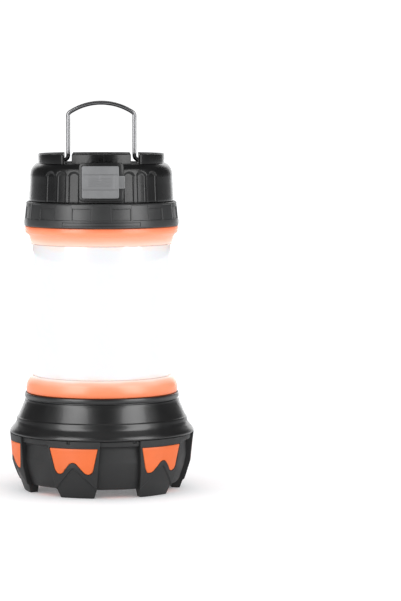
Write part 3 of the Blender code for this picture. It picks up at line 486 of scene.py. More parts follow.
def swept(stations):
    """Extrude one closed loop through a row of others; each station is a list of equal length."""
    bm = bmesh.new()
    verts = [bm.verts.new(point) for point in stations[0]]
    face = bm.faces.new(verts)
    for number, station in enumerate(stations[1:]):
        grown = bmesh.ops.extrude_face_region(bm, geom=[face])["geom"]
        if number:
            bmesh.ops.delete(bm, geom=[face], context="FACES_ONLY")
        face = next(item for item in grown if isinstance(item, bmesh.types.BMFace))
        for vert, point in zip(face.verts, station):
            vert.co = point
    bmesh.ops.recalc_face_normals(bm, faces=bm.faces)
    return bm


def merged(*parts):
    """Several bmeshes in one."""
    whole = bmesh.new()
    for part in parts:
        mesh = bpy.data.meshes.new("part")
        part.to_mesh(mesh)
        part.free()
        whole.from_mesh(mesh)
        bpy.data.meshes.remove(mesh)
    return whole


def object_of(bm, name, material, place, sharp=38):
    bmesh.ops.transform(bm, matrix=place, verts=bm.verts)
    mesh = bpy.data.meshes.new(name)
    bm.to_mesh(mesh)
    bm.free()
    mesh.shade_smooth()
    mesh.set_sharp_from_angle(angle=math.radians(sharp))
    mesh.materials.append(MATERIALS[material])
    obj = bpy.data.objects.new(name, mesh)
    bpy.context.collection.objects.link(obj)
    return obj


def combined(obj, tool, operation):
    """Boolean with another object, kept as plain mesh; the tool is removed."""
    modifier = obj.modifiers.new("join", "BOOLEAN")
    modifier.operation = operation
    modifier.solver = "EXACT"
    modifier.object = tool
    depsgraph = bpy.context.evaluated_depsgraph_get()
    result = bpy.data.meshes.new_from_object(obj.evaluated_get(depsgraph), depsgraph=depsgraph)
    obj.modifiers.clear()
    old = obj.data
    obj.data = result
    result.name = obj.name
    bpy.data.meshes.remove(old)
    bpy.data.objects.remove(tool, do_unlink=True)


def settle(obj, body, record_slot, *nodes):
    """Hide the nodes that the piece stands for and attach it to the body it moves with; record_slot is not
    used.
    """
    if nodes:
        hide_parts(*nodes)
    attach(obj, body)


def piece(bm, name, material, body, record_slot, *nodes, place=LAMP, sharp=38):
    obj = object_of(bm, name, material, place, sharp)
    settle(obj, body, record_slot, *nodes)
    return obj


def carved(obj, body, record_slot, node, sharp):
    """Shade a piece again after its booleans, and settle it."""
    obj.data.shade_smooth()
    obj.data.set_sharp_from_angle(angle=math.radians(sharp))
    settle(obj, body, record_slot, node)


# ---------------------------------------------------------------- torch head

HEAD_R = reach("bumper")
FACE_Z = foot("face_insert_1")
RIM_Z = top("bumper")
WALL_R = HEAD_R - 4.5 * MM
KEEL_Z = 19.0 * MM  # point of the keel, under the notch of the W
KEEL_R = HEAD_R - 0.6 * MM
KEEL_FALL = 0.957  # how fast the keel's two edges drop to the sides
CHIN = 0.8 * MM  # step from the W's border down to the foot's face
FOLD_HALF = 15.2 * MM  # half width of the folded upper face
FOLD_DROP = 2.7 * MM  # fall of the fold from the keel to a side
FOLD_SINK = 1.6 * MM  # how much nearer the lamp's axis the fold is at a side
FOLD_FALL = 0.178  # the fold's slope
FOOT_SLOPE = 0.37  # the foot's lean inward, radius by height
FOOT_TOP, WALL_FOOT = 5.0 * MM, 16.3 * MM  # heights of the bends in a lug's sides


def lug_radius(x, z):
    """Outer face of a lug at arc length x from its middle: a folded upper face over a sunk foot."""
    side = min(abs(x) / FOLD_HALF, 1.1)
    fold_z = KEEL_Z - FOLD_DROP * side
    fold_r = KEEL_R - FOLD_SINK * side
    if z >= fold_z:
        return fold_r + (HEAD_R - fold_r) * min(1.0, (z - fold_z) / (RIM_Z - fold_z))
    keel_z = KEEL_Z - KEEL_FALL * abs(x)
    foot_r = KEEL_R - FOOT_SLOPE * (KEEL_Z - z)
    if z > keel_z:
        keel_r = KEEL_R - FOOT_SLOPE * (KEEL_Z - keel_z)
        return keel_r + (fold_r - keel_r) * (z - keel_z) / max(fold_z - keel_z, 1e-6)
    return foot_r - CHIN * min(1.0, (keel_z - z) / CHIN)


def around_lamp(bm, radius_at):
    """Wrap a flat piece round the lamp's front: x becomes arc length, y the depth under radius_at(x, z)."""
    for vert in bm.verts:
        arc, depth, z = vert.co
        vert.co = polar(arc / HEAD_R, radius_at(arc, z) - depth, z)


def lug_block():
    """One lug: its outline cut along the keel, drawn inward to the ring, its rim softened."""
    bm = rounded_outline([
        (-16.8 * MM, RIM_Z), (-15.4 * MM, WALL_FOOT), (-14.2 * MM, FOOT_TOP), (-12.4 * MM, 0.0),
        (12.4 * MM, 0.0), (14.2 * MM, FOOT_TOP), (15.4 * MM, WALL_FOOT), (16.8 * MM, RIM_Z),
    ], 0.0)
    foot_back_r, wall_back_r = 41.5 * MM, WALL_R - 1.6 * MM
    for vert in extrude(bm):
        low = vert.co.z < 10 * MM
        vert.co.y = HEAD_R - (foot_back_r if low else wall_back_r)
        vert.co.x *= 0.9 if low else 0.97
    bmesh.ops.recalc_face_normals(bm, faces=bm.faces)
    soften(bm, [e for e in bm.edges if all(abs(v.co.y) < 1e-7 for v in e.verts)
                and e.verts[0].co.z + e.verts[1].co.z < 1.9 * RIM_Z], 0.5 * MM)
    for drop in (0.0, CHIN):
        for way in (-1, 1):
            split(bm, (0, 0, KEEL_Z - drop), (way * KEEL_FALL, 0, 1))
            split(bm, (0, 0, KEEL_Z), (way * FOLD_FALL, 0, 1))
    sliced(bm, [i * 1.7 * MM for i in range(-9, 10)], (1, 0, 0))
    sliced(bm, [i * 2.6 * MM for i in range(1, 13)], (0, 0, 1))
    for vert in bm.verts:
        arc, depth, z = vert.co
        face_r = lug_radius(arc, z)
        rise = min(1.0, max(0.0, (z - FOOT_TOP) / (11.3 * MM)))
        back_r = foot_back_r + (wall_back_r - foot_back_r) * rise
        vert.co = polar(arc / HEAD_R, face_r + (back_r - face_r) * depth / (HEAD_R - back_r), z)
    return bm


def insert_face(margin):
    """The W of a lug insert, flat: x along the arc, z up, its lobes and notch rounded."""
    half, lobe, low = 15.2 * MM + margin, 9.3 * MM, 14.8 * MM - margin
    top_z, notch = 30.0 * MM + margin, 21.8 * MM - margin
    side = 12.1 * MM + margin
    points = [
        (-half, top_z, 0.5 * MM), (-side, low + 1.6 * MM, 2.0 * MM), (-lobe - 1.2 * MM, low, 1.4 * MM),
        (-lobe + 1.8 * MM, low + 0.1 * MM, 1.4 * MM), (-1.5 * MM, notch, 1.6 * MM),
        (1.5 * MM, notch, 1.6 * MM), (lobe - 1.8 * MM, low + 0.1 * MM, 1.4 * MM),
        (lobe + 1.2 * MM, low, 1.4 * MM), (side, low + 1.6 * MM, 2.0 * MM), (half, top_z, 0.5 * MM),
    ]
    bm = rounded_outline(points, 0.5 * MM, segments=4)
    sliced(bm, [i * 1.6 * MM for i in range(-9, 10)], (1, 0, 0))
    sliced(bm, [i * 2.6 * MM for i in range(5, 12)], (0, 0, 1))
    return bm


def insert_solid(margin, out, inward, edge):
    """The W as a curved tablet between two depths below the lug's face."""
    bm = insert_face(margin)
    back = set(extrude(bm))
    for vert in bm.verts:
        vert.co.y = inward if vert in back else out
    bmesh.ops.recalc_face_normals(bm, faces=bm.faces)
    if edge:
        soften(bm, front_rim(bm, out), edge)
    around_lamp(bm, lug_radius)
    return bm


def face_tablet(margin, low, high, pocket):
    """Trapezoid tablet of the front face; its outside lies at the low end, with a sunk pocket."""
    inner, outer, spread_angle = 38.9 * MM - margin, 44.9 * MM + margin, math.radians(10.6)
    points = [(-6.2 * MM - margin, -inner), (6.2 * MM + margin, -inner)]
    for i in range(13):
        turn = spread_angle * (1 - i / 6)
        points.append((outer * math.sin(turn) + math.copysign(margin, turn) * 0.5, -outer * math.cos(turn)))
    bm = plate(points, low, high, 0.0, 0.25 * MM if pocket else CRISP, segments=2)
    if pocket:
        base = min(bm.faces, key=lambda f: (round(f.calc_center_median().z, 6), -f.calc_area()))
        bmesh.ops.inset_region(bm, faces=[base], thickness=1.25 * MM, depth=0.0)
        bmesh.ops.inset_region(bm, faces=[base], thickness=0.3 * MM, depth=-1.0 * MM)
    return bm


def turned_about(bm, angle):
    bmesh.ops.rotate(bm, cent=(0, 0, 0), matrix=Matrix.Rotation(angle, 3, "Z"), verts=bm.verts)
    return bm


def build_bumper():
    """Rubber bumper: a cup with six lugs, cut for its inserts."""
    ring = spun([
        (46.0 * MM, 5.4 * MM, 1.0 * MM), (49.3 * MM, 15.0 * MM, 0.0), (WALL_R, 20.9 * MM, 0.5 * MM),
        (WALL_R, 30.2 * MM, 1.2 * MM), (53.2 * MM, 31.0 * MM, 0.5 * MM), (53.4 * MM, RIM_Z, 0.7 * MM),
        (48.3 * MM, RIM_Z, 0.2 * MM), (48.3 * MM, 21.4 * MM, 0.0), (43.7 * MM, 9.1 * MM, 0.0),
        (34.5 * MM, 9.1 * MM, 0.2 * MM), (34.5 * MM, 7.9 * MM, 0.5 * MM),
        (38.0 * MM, FACE_Z + 0.2 * MM, 2.0 * MM), (45.2 * MM, FACE_Z + 0.1 * MM, 0.8 * MM),
    ], MEDIUM * 2)
    bumper = object_of(ring, "bumper_cup", "bumper_rubber", LAMP, 40)
    lugs = merged(*[turned_about(lug_block(), angle) for angle in LUG_ANGLES])
    combined(bumper, object_of(lugs, "lug_forms", "bumper_rubber", LAMP), "UNION")
    pockets = [turned_about(insert_solid(0.25 * MM, -3 * MM, 1.5 * MM, 0.0), angle) for angle in LUG_ANGLES]
    pockets += [turned_about(face_tablet(0.25 * MM, 2 * MM, FACE_Z + 1.9 * MM, False), angle)
                for angle in GAP_ANGLES]
    for way, radius in ((-1, HEAD_R), (1, HEAD_R - 1.4 * MM)):
        notch = spun([(0.0, RIM_Z - 1.6 * MM, 0.0), (1.2 * MM, RIM_Z - 1.6 * MM, 0.0),
                      (1.2 * MM, RIM_Z + 2 * MM, 0.0), (0.0, RIM_Z + 2 * MM, 0.0)], 20)
        place = polar(TAIL_TURN + way * math.radians(21.0), radius, 0)
        bmesh.ops.translate(notch, vec=place, verts=notch.verts)
        pockets.append(notch)
    combined(bumper, object_of(merged(*pockets), "pocket_forms", "bumper_rubber", LAMP), "DIFFERENCE")
    carved(bumper, "lamp", "rubber", "bumper", 13)
    for number, angle in enumerate(LUG_ANGLES, 1):
        inlay = turned_about(insert_solid(0.0, 0.05 * MM, 1.4 * MM, 0.3 * MM), angle)
        piece(inlay, f"lug_inlay_{number}", "insert_orange", "lamp", "orange", f"lug_insert_{number}",
              sharp=50)
    for number, angle in enumerate(GAP_ANGLES, 1):
        tablet = turned_about(face_tablet(0.0, FACE_Z + 0.05 * MM, FACE_Z + 1.7 * MM, True), angle)
        obj = piece(tablet, f"face_inlay_{number}", "insert_orange", "lamp", "orange",
                    f"face_insert_{number}")
        # Painted shade: the pocket floor faces take the darker copy of the orange.
        obj.data.materials.append(MATERIALS["shaded_pocket_orange"])
        floor_z = FACE_Z + 0.8 * MM
        for face in obj.data.polygons:
            if face.normal.z < -0.9 and floor_z < face.center.z < FACE_Z + 1.5 * MM:
                face.material_index = 1


def build_torch():
    """Bezel, lens, gasket, petalled reflector and its LED."""
    bezel_low, bezel_high = foot("bezel_ring"), top("bezel_ring")
    piece(spun([
        (32.7 * MM, bezel_low, 0.4 * MM), (34.0 * MM, bezel_low, 0.4 * MM), (34.0 * MM, 9.3 * MM, 0.1 * MM),
        (36.2 * MM, 9.3 * MM, 0.2 * MM), (36.2 * MM, bezel_high, 0.2 * MM), (32.7 * MM, bezel_high, 0.2 * MM),
    ], FINE), "bezel", "bright_chrome", "lamp", "chrome", "bezel_ring")
    lens_low, lens_high = foot("lens"), top("lens")
    piece(spun([
        (0.0, lens_low, 0.0), (31.9 * MM, lens_low, 0.0), (32.4 * MM, lens_low + 0.5 * MM, 0.2 * MM),
        (32.4 * MM, 10.5 * MM, 0.1 * MM), (36.2 * MM, 10.5 * MM, 0.2 * MM), (36.2 * MM, lens_high, 0.2 * MM),
        (0.0, lens_high, 0.0),
    ], FINE), "front_lens", "clear_lens", "lamp", "lens_clear", "lens")
    rim_z, throat_z = foot("reflector"), top("reflector") - 1.2 * MM
    bowl = [(6.0 * MM + 25.8 * MM * share, throat_z - (throat_z - rim_z) * share ** 2, 0.0)
            for share in (i / 14 for i in range(15))]
    outside = [(r + 1.0 * MM, z + 1.0 * MM, 0.0) for r, z, _ in reversed(bowl[:-1])]
    reflector = spun(bowl + [(36.2 * MM, rim_z, 0.2 * MM), (36.2 * MM, rim_z + 1.0 * MM, 0.2 * MM),
                             (32.8 * MM, rim_z + 1.0 * MM, 0.0)] + outside, FINE)
    petals = 24
    for vert in reflector.verts:
        radius = math.hypot(vert.co.x, vert.co.y)
        if vert.co.z < throat_z + 0.5 * MM and radius < 31 * MM:
            ripple = abs(math.sin(petals / 2 * angle_of(vert.co)))
            vert.co.z += 0.5 * MM * ripple * math.sin(math.pi * ease(radius, 6 * MM, 31.8 * MM))
    piece(reflector, "petalled_reflector", "bright_chrome", "lamp", "chrome", "reflector", sharp=60)
    dome_z, seat_z = foot("torch_led"), top("torch_led")
    dome = [(0.0, dome_z, 0.0)]
    for i in range(1, 8):
        turn = math.pi / 2 * i / 7
        dome.append((2.7 * MM * math.sin(turn), dome_z + 2.3 * MM * (1 - math.cos(turn)), 0.0))
    dome += [(3.3 * MM, dome_z + 2.3 * MM, 0.1 * MM), (3.3 * MM, seat_z, 0.1 * MM), (0.0, seat_z, 0.0)]
    piece(spun(dome, SMALL), "led_dome", "phosphor", "lamp", "led", "torch_led")


def build_housing():
    """Gloss black head housing between the bumper and the lantern."""
    low, high = RIM_Z + 0.3 * MM, top("head_housing")
    piece(spun([
        (54.85 * MM, low, 0.3 * MM), (54.9 * MM, 35.6 * MM, 0.4 * MM), (54.3 * MM, 36.8 * MM, 0.8 * MM),
        (51.1 * MM, 40.6 * MM, 1.2 * MM), (50.75 * MM, 43.6 * MM, 0.5 * MM),
        (50.1 * MM, 44.1 * MM, 0.35 * MM), (46.1 * MM, 53.3 * MM, 0.8 * MM),
        (46.0 * MM, 54.5 * MM, 0.25 * MM), (45.3 * MM, 54.75 * MM, 0.15 * MM),
        (45.3 * MM, 55.35 * MM, 0.15 * MM), (46.0 * MM, 55.6 * MM, 0.25 * MM), (46.0 * MM, high, 0.5 * MM),
        (20.0 * MM, high, 0.2 * MM), (20.0 * MM, 55.0 * MM, 0.0), (42.6 * MM, 55.0 * MM, 0.0),
        (42.6 * MM, 50.0 * MM, 0.0), (44.8 * MM, 42.0 * MM, 0.0), (44.8 * MM, 24.0 * MM, 0.0),
        (42.0 * MM, 17.0 * MM, 0.0), (36.7 * MM, 17.0 * MM, 0.0), (36.7 * MM, 9.4 * MM, 0.0),
        (43.0 * MM, 9.4 * MM, 0.0), (47.7 * MM, 21.4 * MM, 0.0), (47.7 * MM, low, 0.0),
    ], FINE), "neck_housing", "gloss_black", "lamp", "gloss_black", "head_housing")


# ---------------------------------------------------------------- lantern


def build_lantern():
    """Two glowing rings and the frosted tube between them."""
    low, high = foot("lower_ring"), top("lower_ring")
    piece(spun([
        (44.9 * MM, low, 0.4 * MM), (45.1 * MM, 61.4 * MM, 1.0 * MM), (44.5 * MM, 64.8 * MM, 1.5 * MM),
        (42.6 * MM, 67.4 * MM, 1.2 * MM), (41.5 * MM, high, 0.25 * MM), (40.2 * MM, high, 0.1 * MM),
        (40.2 * MM, 61.2 * MM, 0.0), (37.9 * MM, 61.2 * MM, 0.0), (37.9 * MM, low, 0.1 * MM),
    ], FINE), "lower_glow_ring", "lower_ring_glow", "lamp", "orange", "lower_ring")
    tube_top = foot("upper_ring") - 0.3 * MM
    piece(spun([
        (41.0 * MM, high + 0.3 * MM, 0.3 * MM), (42.3 * MM, tube_top, 0.3 * MM), (40.9 * MM, tube_top, 0.0),
        (40.9 * MM, top("diffuser"), 0.2 * MM), (38.9 * MM, top("diffuser"), 0.2 * MM),
        (38.9 * MM, tube_top - 2 * MM, 0.0), (37.9 * MM, high + 2 * MM, 0.0),
        (37.9 * MM, 61.5 * MM, 0.1 * MM), (39.9 * MM, 61.5 * MM, 0.1 * MM), (39.9 * MM, high + 0.3 * MM, 0.0),
    ], FINE, slices=[high + i * 13 * MM for i in range(1, 6)]),
        "diffuser_tube", "lit_diffuser", "lamp", "diffuser_white", "diffuser")
    low, high = foot("upper_ring"), top("upper_ring")
    piece(spun([
        (42.0 * MM, low, 0.2 * MM), (43.0 * MM, 151.8 * MM, 0.6 * MM), (43.5 * MM, 152.7 * MM, 0.6 * MM),
        (45.3 * MM, 153.9 * MM, 0.5 * MM), (45.6 * MM, 154.9 * MM, 0.6 * MM), (45.6 * MM, high, 0.4 * MM),
        (41.2 * MM, high, 0.2 * MM), (41.2 * MM, low, 0.1 * MM),
    ], FINE), "upper_glow_ring", "upper_ring_glow", "lamp", "orange", "upper_ring")


# ---------------------------------------------------------------- tail

PANELS = 24
FLUTES = 32
TAIL_R = 43.2 * MM


def build_collar():
    """Grip collar: panels sunk between lands, with three wide tabs at its foot."""
    low, high = foot("collar"), top("collar")
    tab_low, panel_low, panel_high = low + 1.1 * MM, low + 4.1 * MM, high - 0.7 * MM
    sunk_high = high - 2.6 * MM
    bm = spun([
        (46.0 * MM, low, 0.4 * MM), (45.98 * MM, tab_low, 0.0), (45.9 * MM, panel_low - 0.5 * MM, 0.0),
        (45.85 * MM, panel_low, 0.0), (45.1 * MM, sunk_high, 0.0), (44.8 * MM, panel_high, 0.0),
        (44.2 * MM, high, 0.4 * MM), (40.3 * MM, high, 0.2 * MM), (40.3 * MM, low + 1.9 * MM, 0.0),
        (42.1 * MM, low + 1.8 * MM, 0.0), (42.1 * MM, low, 0.1 * MM),
    ], PANELS * 6)
    outer = [f for f in bm.faces if f.calc_center_median().xy.length > 44 * MM
             and f.normal.dot(Vector((*f.calc_center_median().xy, 0)).normalized()) > 0.8]
    pitch = 2 * math.pi / PANELS

    def panels(z_high, odd):
        found = {}
        for face in outer:
            centre = face.calc_center_median()
            index = round(angle_of(centre) / pitch)
            if panel_low < centre.z < z_high and index % 2 == odd:
                found.setdefault(index % PANELS, []).append(face)
        return list(found.values())

    for faces in panels(sunk_high, 1):
        bmesh.ops.inset_region(bm, faces=faces, thickness=0.3 * MM, depth=0.0)
        bmesh.ops.inset_region(bm, faces=faces, thickness=0.3 * MM, depth=-0.6 * MM)
    for faces in panels(panel_high, 0):
        bmesh.ops.inset_region(bm, faces=faces, thickness=0.25 * MM, depth=0.0)
        bmesh.ops.inset_region(bm, faces=faces, thickness=0.35 * MM, depth=-0.28 * MM)
    third = 2 * math.pi / 3
    for turn in (-third, 0, third):
        tab = [f for f in outer if tab_low < f.calc_center_median().z < panel_low - 0.5 * MM
               and abs(angle_of(Matrix.Rotation(-turn, 3, "Z") @ f.calc_center_median())) < math.radians(29)]
        bmesh.ops.inset_region(bm, faces=tab, thickness=0.1 * MM, depth=-0.35 * MM)
        bmesh.ops.inset_region(bm, faces=tab, thickness=0.3 * MM, depth=0.0)
        bmesh.ops.inset_region(bm, faces=tab, thickness=0.15 * MM, depth=0.45 * MM)
    piece(bm, "grip_collar", "grip_grey", "tail", "dark_grey", "collar", place=TAIL, sharp=26)


def pad_points():
    """Plan of the central pad, from its straight side round one end to the other side."""
    half, end = 17.4 * MM, 32.0 * MM
    spread_angle = math.degrees(math.asin(half / end))
    points = []
    for way in (90, 270):
        for i in range(13):
            turn = math.radians(way - spread_angle + 2 * spread_angle * i / 12)
            points.append((end * math.cos(turn), end * math.sin(turn)))
    return points


def block_points(side):
    inner, outer = 22.0 * MM, 37.7 * MM
    spread_angle = math.degrees(math.acos(inner / outer))
    turns = [math.radians(-spread_angle + 2 * spread_angle * i / 16) for i in range(17)]
    return [(side * outer * math.cos(t), side * outer * math.sin(t)) for t in turns]


def fluted(bm, high, nearest, farthest):
    """Sink round-topped hollows into the tail's side, in two groups at the front and two at the back."""
    pitch = 2 * math.pi / FLUTES
    for vert in bm.verts:
        radius = math.hypot(vert.co.x, vert.co.y)
        if radius < 40.6 * MM or vert.co.z > high:
            continue
        angle = angle_of(vert.co)
        turn = min(abs(angle), math.pi - abs(angle))
        place = round(turn / pitch)
        if not nearest <= place <= farthest:
            continue
        across = abs(turn / pitch - place) * 2 / 0.86
        if across >= 1:
            continue
        bowl = math.sqrt(1 - across ** 2)
        crown = high - 3.6 * MM * (1 - bowl)
        depth = 1.0 * MM * min(1.0, 1.5 * bowl) * (1 - ease(vert.co.z, crown - 2.0 * MM, crown))
        vert.co.xy *= (radius - depth) / radius


def panel(left, right, low, high, inner_r, outer_r, corner, edge, columns=14):
    """A rounded panel that follows the tail's side at the front, its outer rim softened."""
    outline = [(left, low), (right, low), (right, high), (left, high)]
    bm = rounded_outline(outline, corner, segments=5)
    width = right - left
    sliced(bm, [left + width * i / columns for i in range(1, columns)], (1, 0, 0))
    back = set(extrude(bm))
    for vert in bm.verts:
        vert.co.y = outer_r - inner_r if vert in back else 0.0
    bmesh.ops.recalc_face_normals(bm, faces=bm.faces)
    if edge:
        soften(bm, front_rim(bm), edge, 3)
    for vert in bm.verts:
        vert.co = polar(math.asin(vert.co.x / TAIL_R), outer_r - vert.co.y, vert.co.z)
    return bm


FLAP_LEFT, FLAP_RIGHT = -11.3 * MM, 10.1 * MM
FLAP_LOW, FLAP_HIGH = foot("port_cover"), top("port_cover") + 1.2 * MM
FLAP_MIDDLE = (FLAP_LOW + FLAP_HIGH) / 2
STRAP_HALF = 3.7 * MM
RECESS_R = 42.6 * MM  # floor of the cover's recess
CLEAR_R = 48.0 * MM  # outer end of a cutter, clear of the tail
GAP = 0.3 * MM  # round the cover
BUTTON_SEAT = 195.3 * MM


def build_tail_housing():
    """Tail shell: fluted side, shoulder, deck, pad, side blocks and port frame."""
    deck, pad_top = 195.2 * MM, top("tail_housing")
    base = top("collar") + 0.3 * MM
    shell = spun([
        (43.15 * MM, base, 0.3 * MM), (43.1 * MM, 174.0 * MM, 0.0), (42.6 * MM, 183.0 * MM, 0.0),
        (42.4 * MM, 189.0 * MM, 1.5 * MM), (41.2 * MM, 192.7 * MM, 1.6 * MM), (38.2 * MM, deck, 1.4 * MM),
        (0.0, deck, 0.0), (0.0, 190.0 * MM, 0.0), (38.7 * MM, 190.0 * MM, 0.0),
        (38.7 * MM, 168.2 * MM, 0.1 * MM), (39.8 * MM, 168.2 * MM, 0.1 * MM), (39.8 * MM, base, 0.0),
    ], FLUTES * 16, slices=[183.0 * MM + i * 0.6 * MM for i in range(1, 16)])
    fluted(shell, 191.4 * MM, 2, 4)
    # The tail shell and its forms take the darker copy of gloss_black: painted shade.
    housing = object_of(shell, "tail_shell", "shaded_tail_black", TAIL)
    sunk = deck - 1.0 * MM
    notch = [(-2.0 * MM, -33 * MM), (2.0 * MM, -33 * MM), (1.2 * MM, -30.7 * MM), (-1.2 * MM, -30.7 * MM)]
    shapes = [
        ("UNION", plate(pad_points(), sunk, pad_top, 0.0, 0.5 * MM)),
        ("UNION", plate(block_points(-1), sunk, pad_top, 1.8 * MM, 0.6 * MM)),
        ("UNION", plate(block_points(1), sunk, pad_top, 1.8 * MM, 0.6 * MM)),
        ("UNION", panel(-13.0 * MM, 13.0 * MM, FLAP_LOW - 1.9 * MM, FLAP_HIGH + 1.9 * MM,
                        40.0 * MM, 44.0 * MM, 2.2 * MM, 0.5 * MM)),
        ("DIFFERENCE", panel(FLAP_LEFT - GAP, FLAP_RIGHT + GAP, FLAP_LOW - GAP, FLAP_HIGH + GAP,
                             RECESS_R, CLEAR_R, 1.2 * MM, 0.0)),
        ("DIFFERENCE", panel(0.0, 19.0 * MM, FLAP_MIDDLE - STRAP_HALF - GAP, FLAP_MIDDLE + STRAP_HALF + GAP,
                             RECESS_R, CLEAR_R, 0.3 * MM, 0.0)),
        ("DIFFERENCE", plate([(-6.9 * MM, -47 * MM), (6.9 * MM, -47 * MM), (6.9 * MM, -32 * MM),
                              (-6.9 * MM, -32 * MM)], 177.3 * MM, 188.3 * MM, 0.4 * MM, CRISP)),
        ("DIFFERENCE", plate(notch, deck + 0.4 * MM, pad_top + 2 * MM, 0.0, CRISP)),
        ("DIFFERENCE", spun([(0.0, 189.0 * MM, 0.0), (3.3 * MM, 189.0 * MM, 0.0),
                             (3.3 * MM, BUTTON_SEAT, 0.0), (8.0 * MM, BUTTON_SEAT, 0.0),
                             (8.0 * MM, pad_top - 0.5 * MM, 0.0),
                             (9.0 * MM, pad_top + 1 * MM, 0.0), (0.0, pad_top + 1 * MM, 0.0)], SMALL * 2)),
    ]
    for side in (-1, 1):
        hole = bmesh.new()
        bmesh.ops.create_cone(hole, cap_ends=True, segments=32, radius1=1.5 * MM, radius2=1.5 * MM,
                              depth=8 * MM)
        turn = Matrix.Translation((side * 21.9 * MM, 0, BAIL_PIVOT_Z)) @ Matrix.Rotation(math.pi / 2, 4, "Y")
        bmesh.ops.transform(hole, matrix=turn, verts=hole.verts)
        shapes.append(("DIFFERENCE", hole))
    for number, (operation, bm) in enumerate(shapes, 1):
        combined(housing, object_of(bm, f"tail_form_{number}", "shaded_tail_black", TAIL), operation)
    carved(housing, "tail", "gloss_black", "tail_housing", 34)


def build_port_cover():
    """Rubber cover with two grooves across it, a ribbed middle and its strap."""
    inner, outer, clear = RECESS_R + 0.3 * MM, RECESS_R + 1.7 * MM, 46 * MM
    strap_low, strap_high = FLAP_MIDDLE - STRAP_HALF, FLAP_MIDDLE + STRAP_HALF
    obj = object_of(panel(FLAP_LEFT, FLAP_RIGHT, FLAP_LOW, FLAP_HIGH, inner, outer, 1.0 * MM, 0.3 * MM, 18),
                    "socket_cover", "cover_rubber", TAIL)
    shapes = [("UNION", panel(FLAP_RIGHT - 1.0 * MM, FLAP_RIGHT + 3.3 * MM, strap_low, strap_high,
                              inner, outer - 0.25 * MM, 0.5 * MM, 0.25 * MM, 6))]
    for z in (FLAP_MIDDLE - 4.4 * MM, FLAP_MIDDLE + 4.4 * MM):
        shapes.append(("DIFFERENCE", panel(FLAP_LEFT + 0.9 * MM, FLAP_RIGHT - 0.9 * MM, z - 0.22 * MM,
                                           z + 0.22 * MM, outer - 0.3 * MM, clear, 0.1 * MM, 0.0)))
    for i in range(5):
        x = FLAP_RIGHT - 0.1 * MM + i * 0.62 * MM
        shapes.append(("DIFFERENCE", panel(x, x + 0.25 * MM, strap_low + 0.6 * MM, strap_high - 0.6 * MM,
                                           outer - 0.45 * MM, clear, 0.05 * MM, 0.0, 2)))
    for z in (FLAP_MIDDLE - 1.8 * MM, FLAP_MIDDLE, FLAP_MIDDLE + 1.8 * MM):
        shapes.append(("UNION", panel(FLAP_LEFT + 4.2 * MM, FLAP_RIGHT - 4.2 * MM, z - 0.32 * MM,
                                      z + 0.32 * MM, outer - 0.3 * MM, outer + 0.22 * MM, 0.3 * MM,
                                      0.12 * MM, 12)))
    for number, (operation, bm) in enumerate(shapes, 1):
        combined(obj, object_of(bm, f"cover_form_{number}", "cover_rubber", TAIL), operation)
    carved(obj, "port_cover", "grey_rubber", "port_cover", 34)


def build_sockets():
    """Charging sockets behind the cover: folded steel shells, each with a tongue in its mouth."""
    mouth_y, wall, tongue_back = -40.2 * MM, 0.35 * MM, 0.8 * MM

    def bar(half, low, high, fillet, segments, length):
        bm = rounded_outline([(-half, low), (half, low), (half, high), (-half, high)], fillet, segments)
        front = bm.faces[:]
        bmesh.ops.translate(bm, vec=(0, length, 0), verts=extrude(bm, front))
        bmesh.ops.recalc_face_normals(bm, faces=bm.faces)
        return bm, front

    for name, node, width, depth, corner, tongue_z in (
            ("wide", "usb_a_socket", 13.1 * MM, 14.0 * MM, 0.4 * MM, 0.62),
            ("small", "micro_usb_socket", 7.6 * MM, 5.6 * MM, 0.9 * MM, 0.5)):
        low, high = foot(node), top(node)
        shell, front = bar(width / 2, low, high, corner, 4, depth)
        bmesh.ops.inset_region(shell, faces=front, thickness=wall, depth=0.0)
        bmesh.ops.inset_region(shell, faces=front, thickness=0.01 * MM, depth=wall - depth)
        bmesh.ops.translate(shell, vec=(0, mouth_y, 0), verts=shell.verts)
        piece(shell, f"{name}_socket_shell", "socket_steel", "tail", "steel", node, place=TAIL)
        middle, thick = low + (high - low) * tongue_z, (high - low) * 0.14
        tongue, _ = bar(width / 2 - 1.1 * MM, middle - thick, middle + thick, thick * 0.6, 3,
                        depth - wall - tongue_back)
        bmesh.ops.translate(tongue, vec=(0, mouth_y + tongue_back, 0), verts=tongue.verts)
        piece(tongue, f"{name}_socket_tongue", "inner_black", "tail", "inner_black", place=TAIL)


def build_button():
    """Dished rubber button with a raised ring round its rim."""
    low, high = foot("power_button"), top("power_button")
    shoulder = BUTTON_SEAT + 1.5 * MM
    button = spun([
        (0.0, low, 0.0), (3.0 * MM, low, 0.2 * MM), (3.0 * MM, shoulder, 0.2 * MM),
        (7.7 * MM, shoulder, 0.3 * MM), (7.7 * MM, high, 0.5 * MM), (6.6 * MM, high, 0.4 * MM),
        (5.9 * MM, high - 0.5 * MM, 0.4 * MM), (2.4 * MM, high - 0.25 * MM, 0.8 * MM),
        (1.7 * MM, high - 0.05 * MM, 0.3 * MM), (0.0, high - 0.05 * MM, 0.0),
    ], MEDIUM)
    piece(button, "tail_button", "button_rubber", "power_button", "rubber", "power_button", place=TAIL,
          sharp=50)


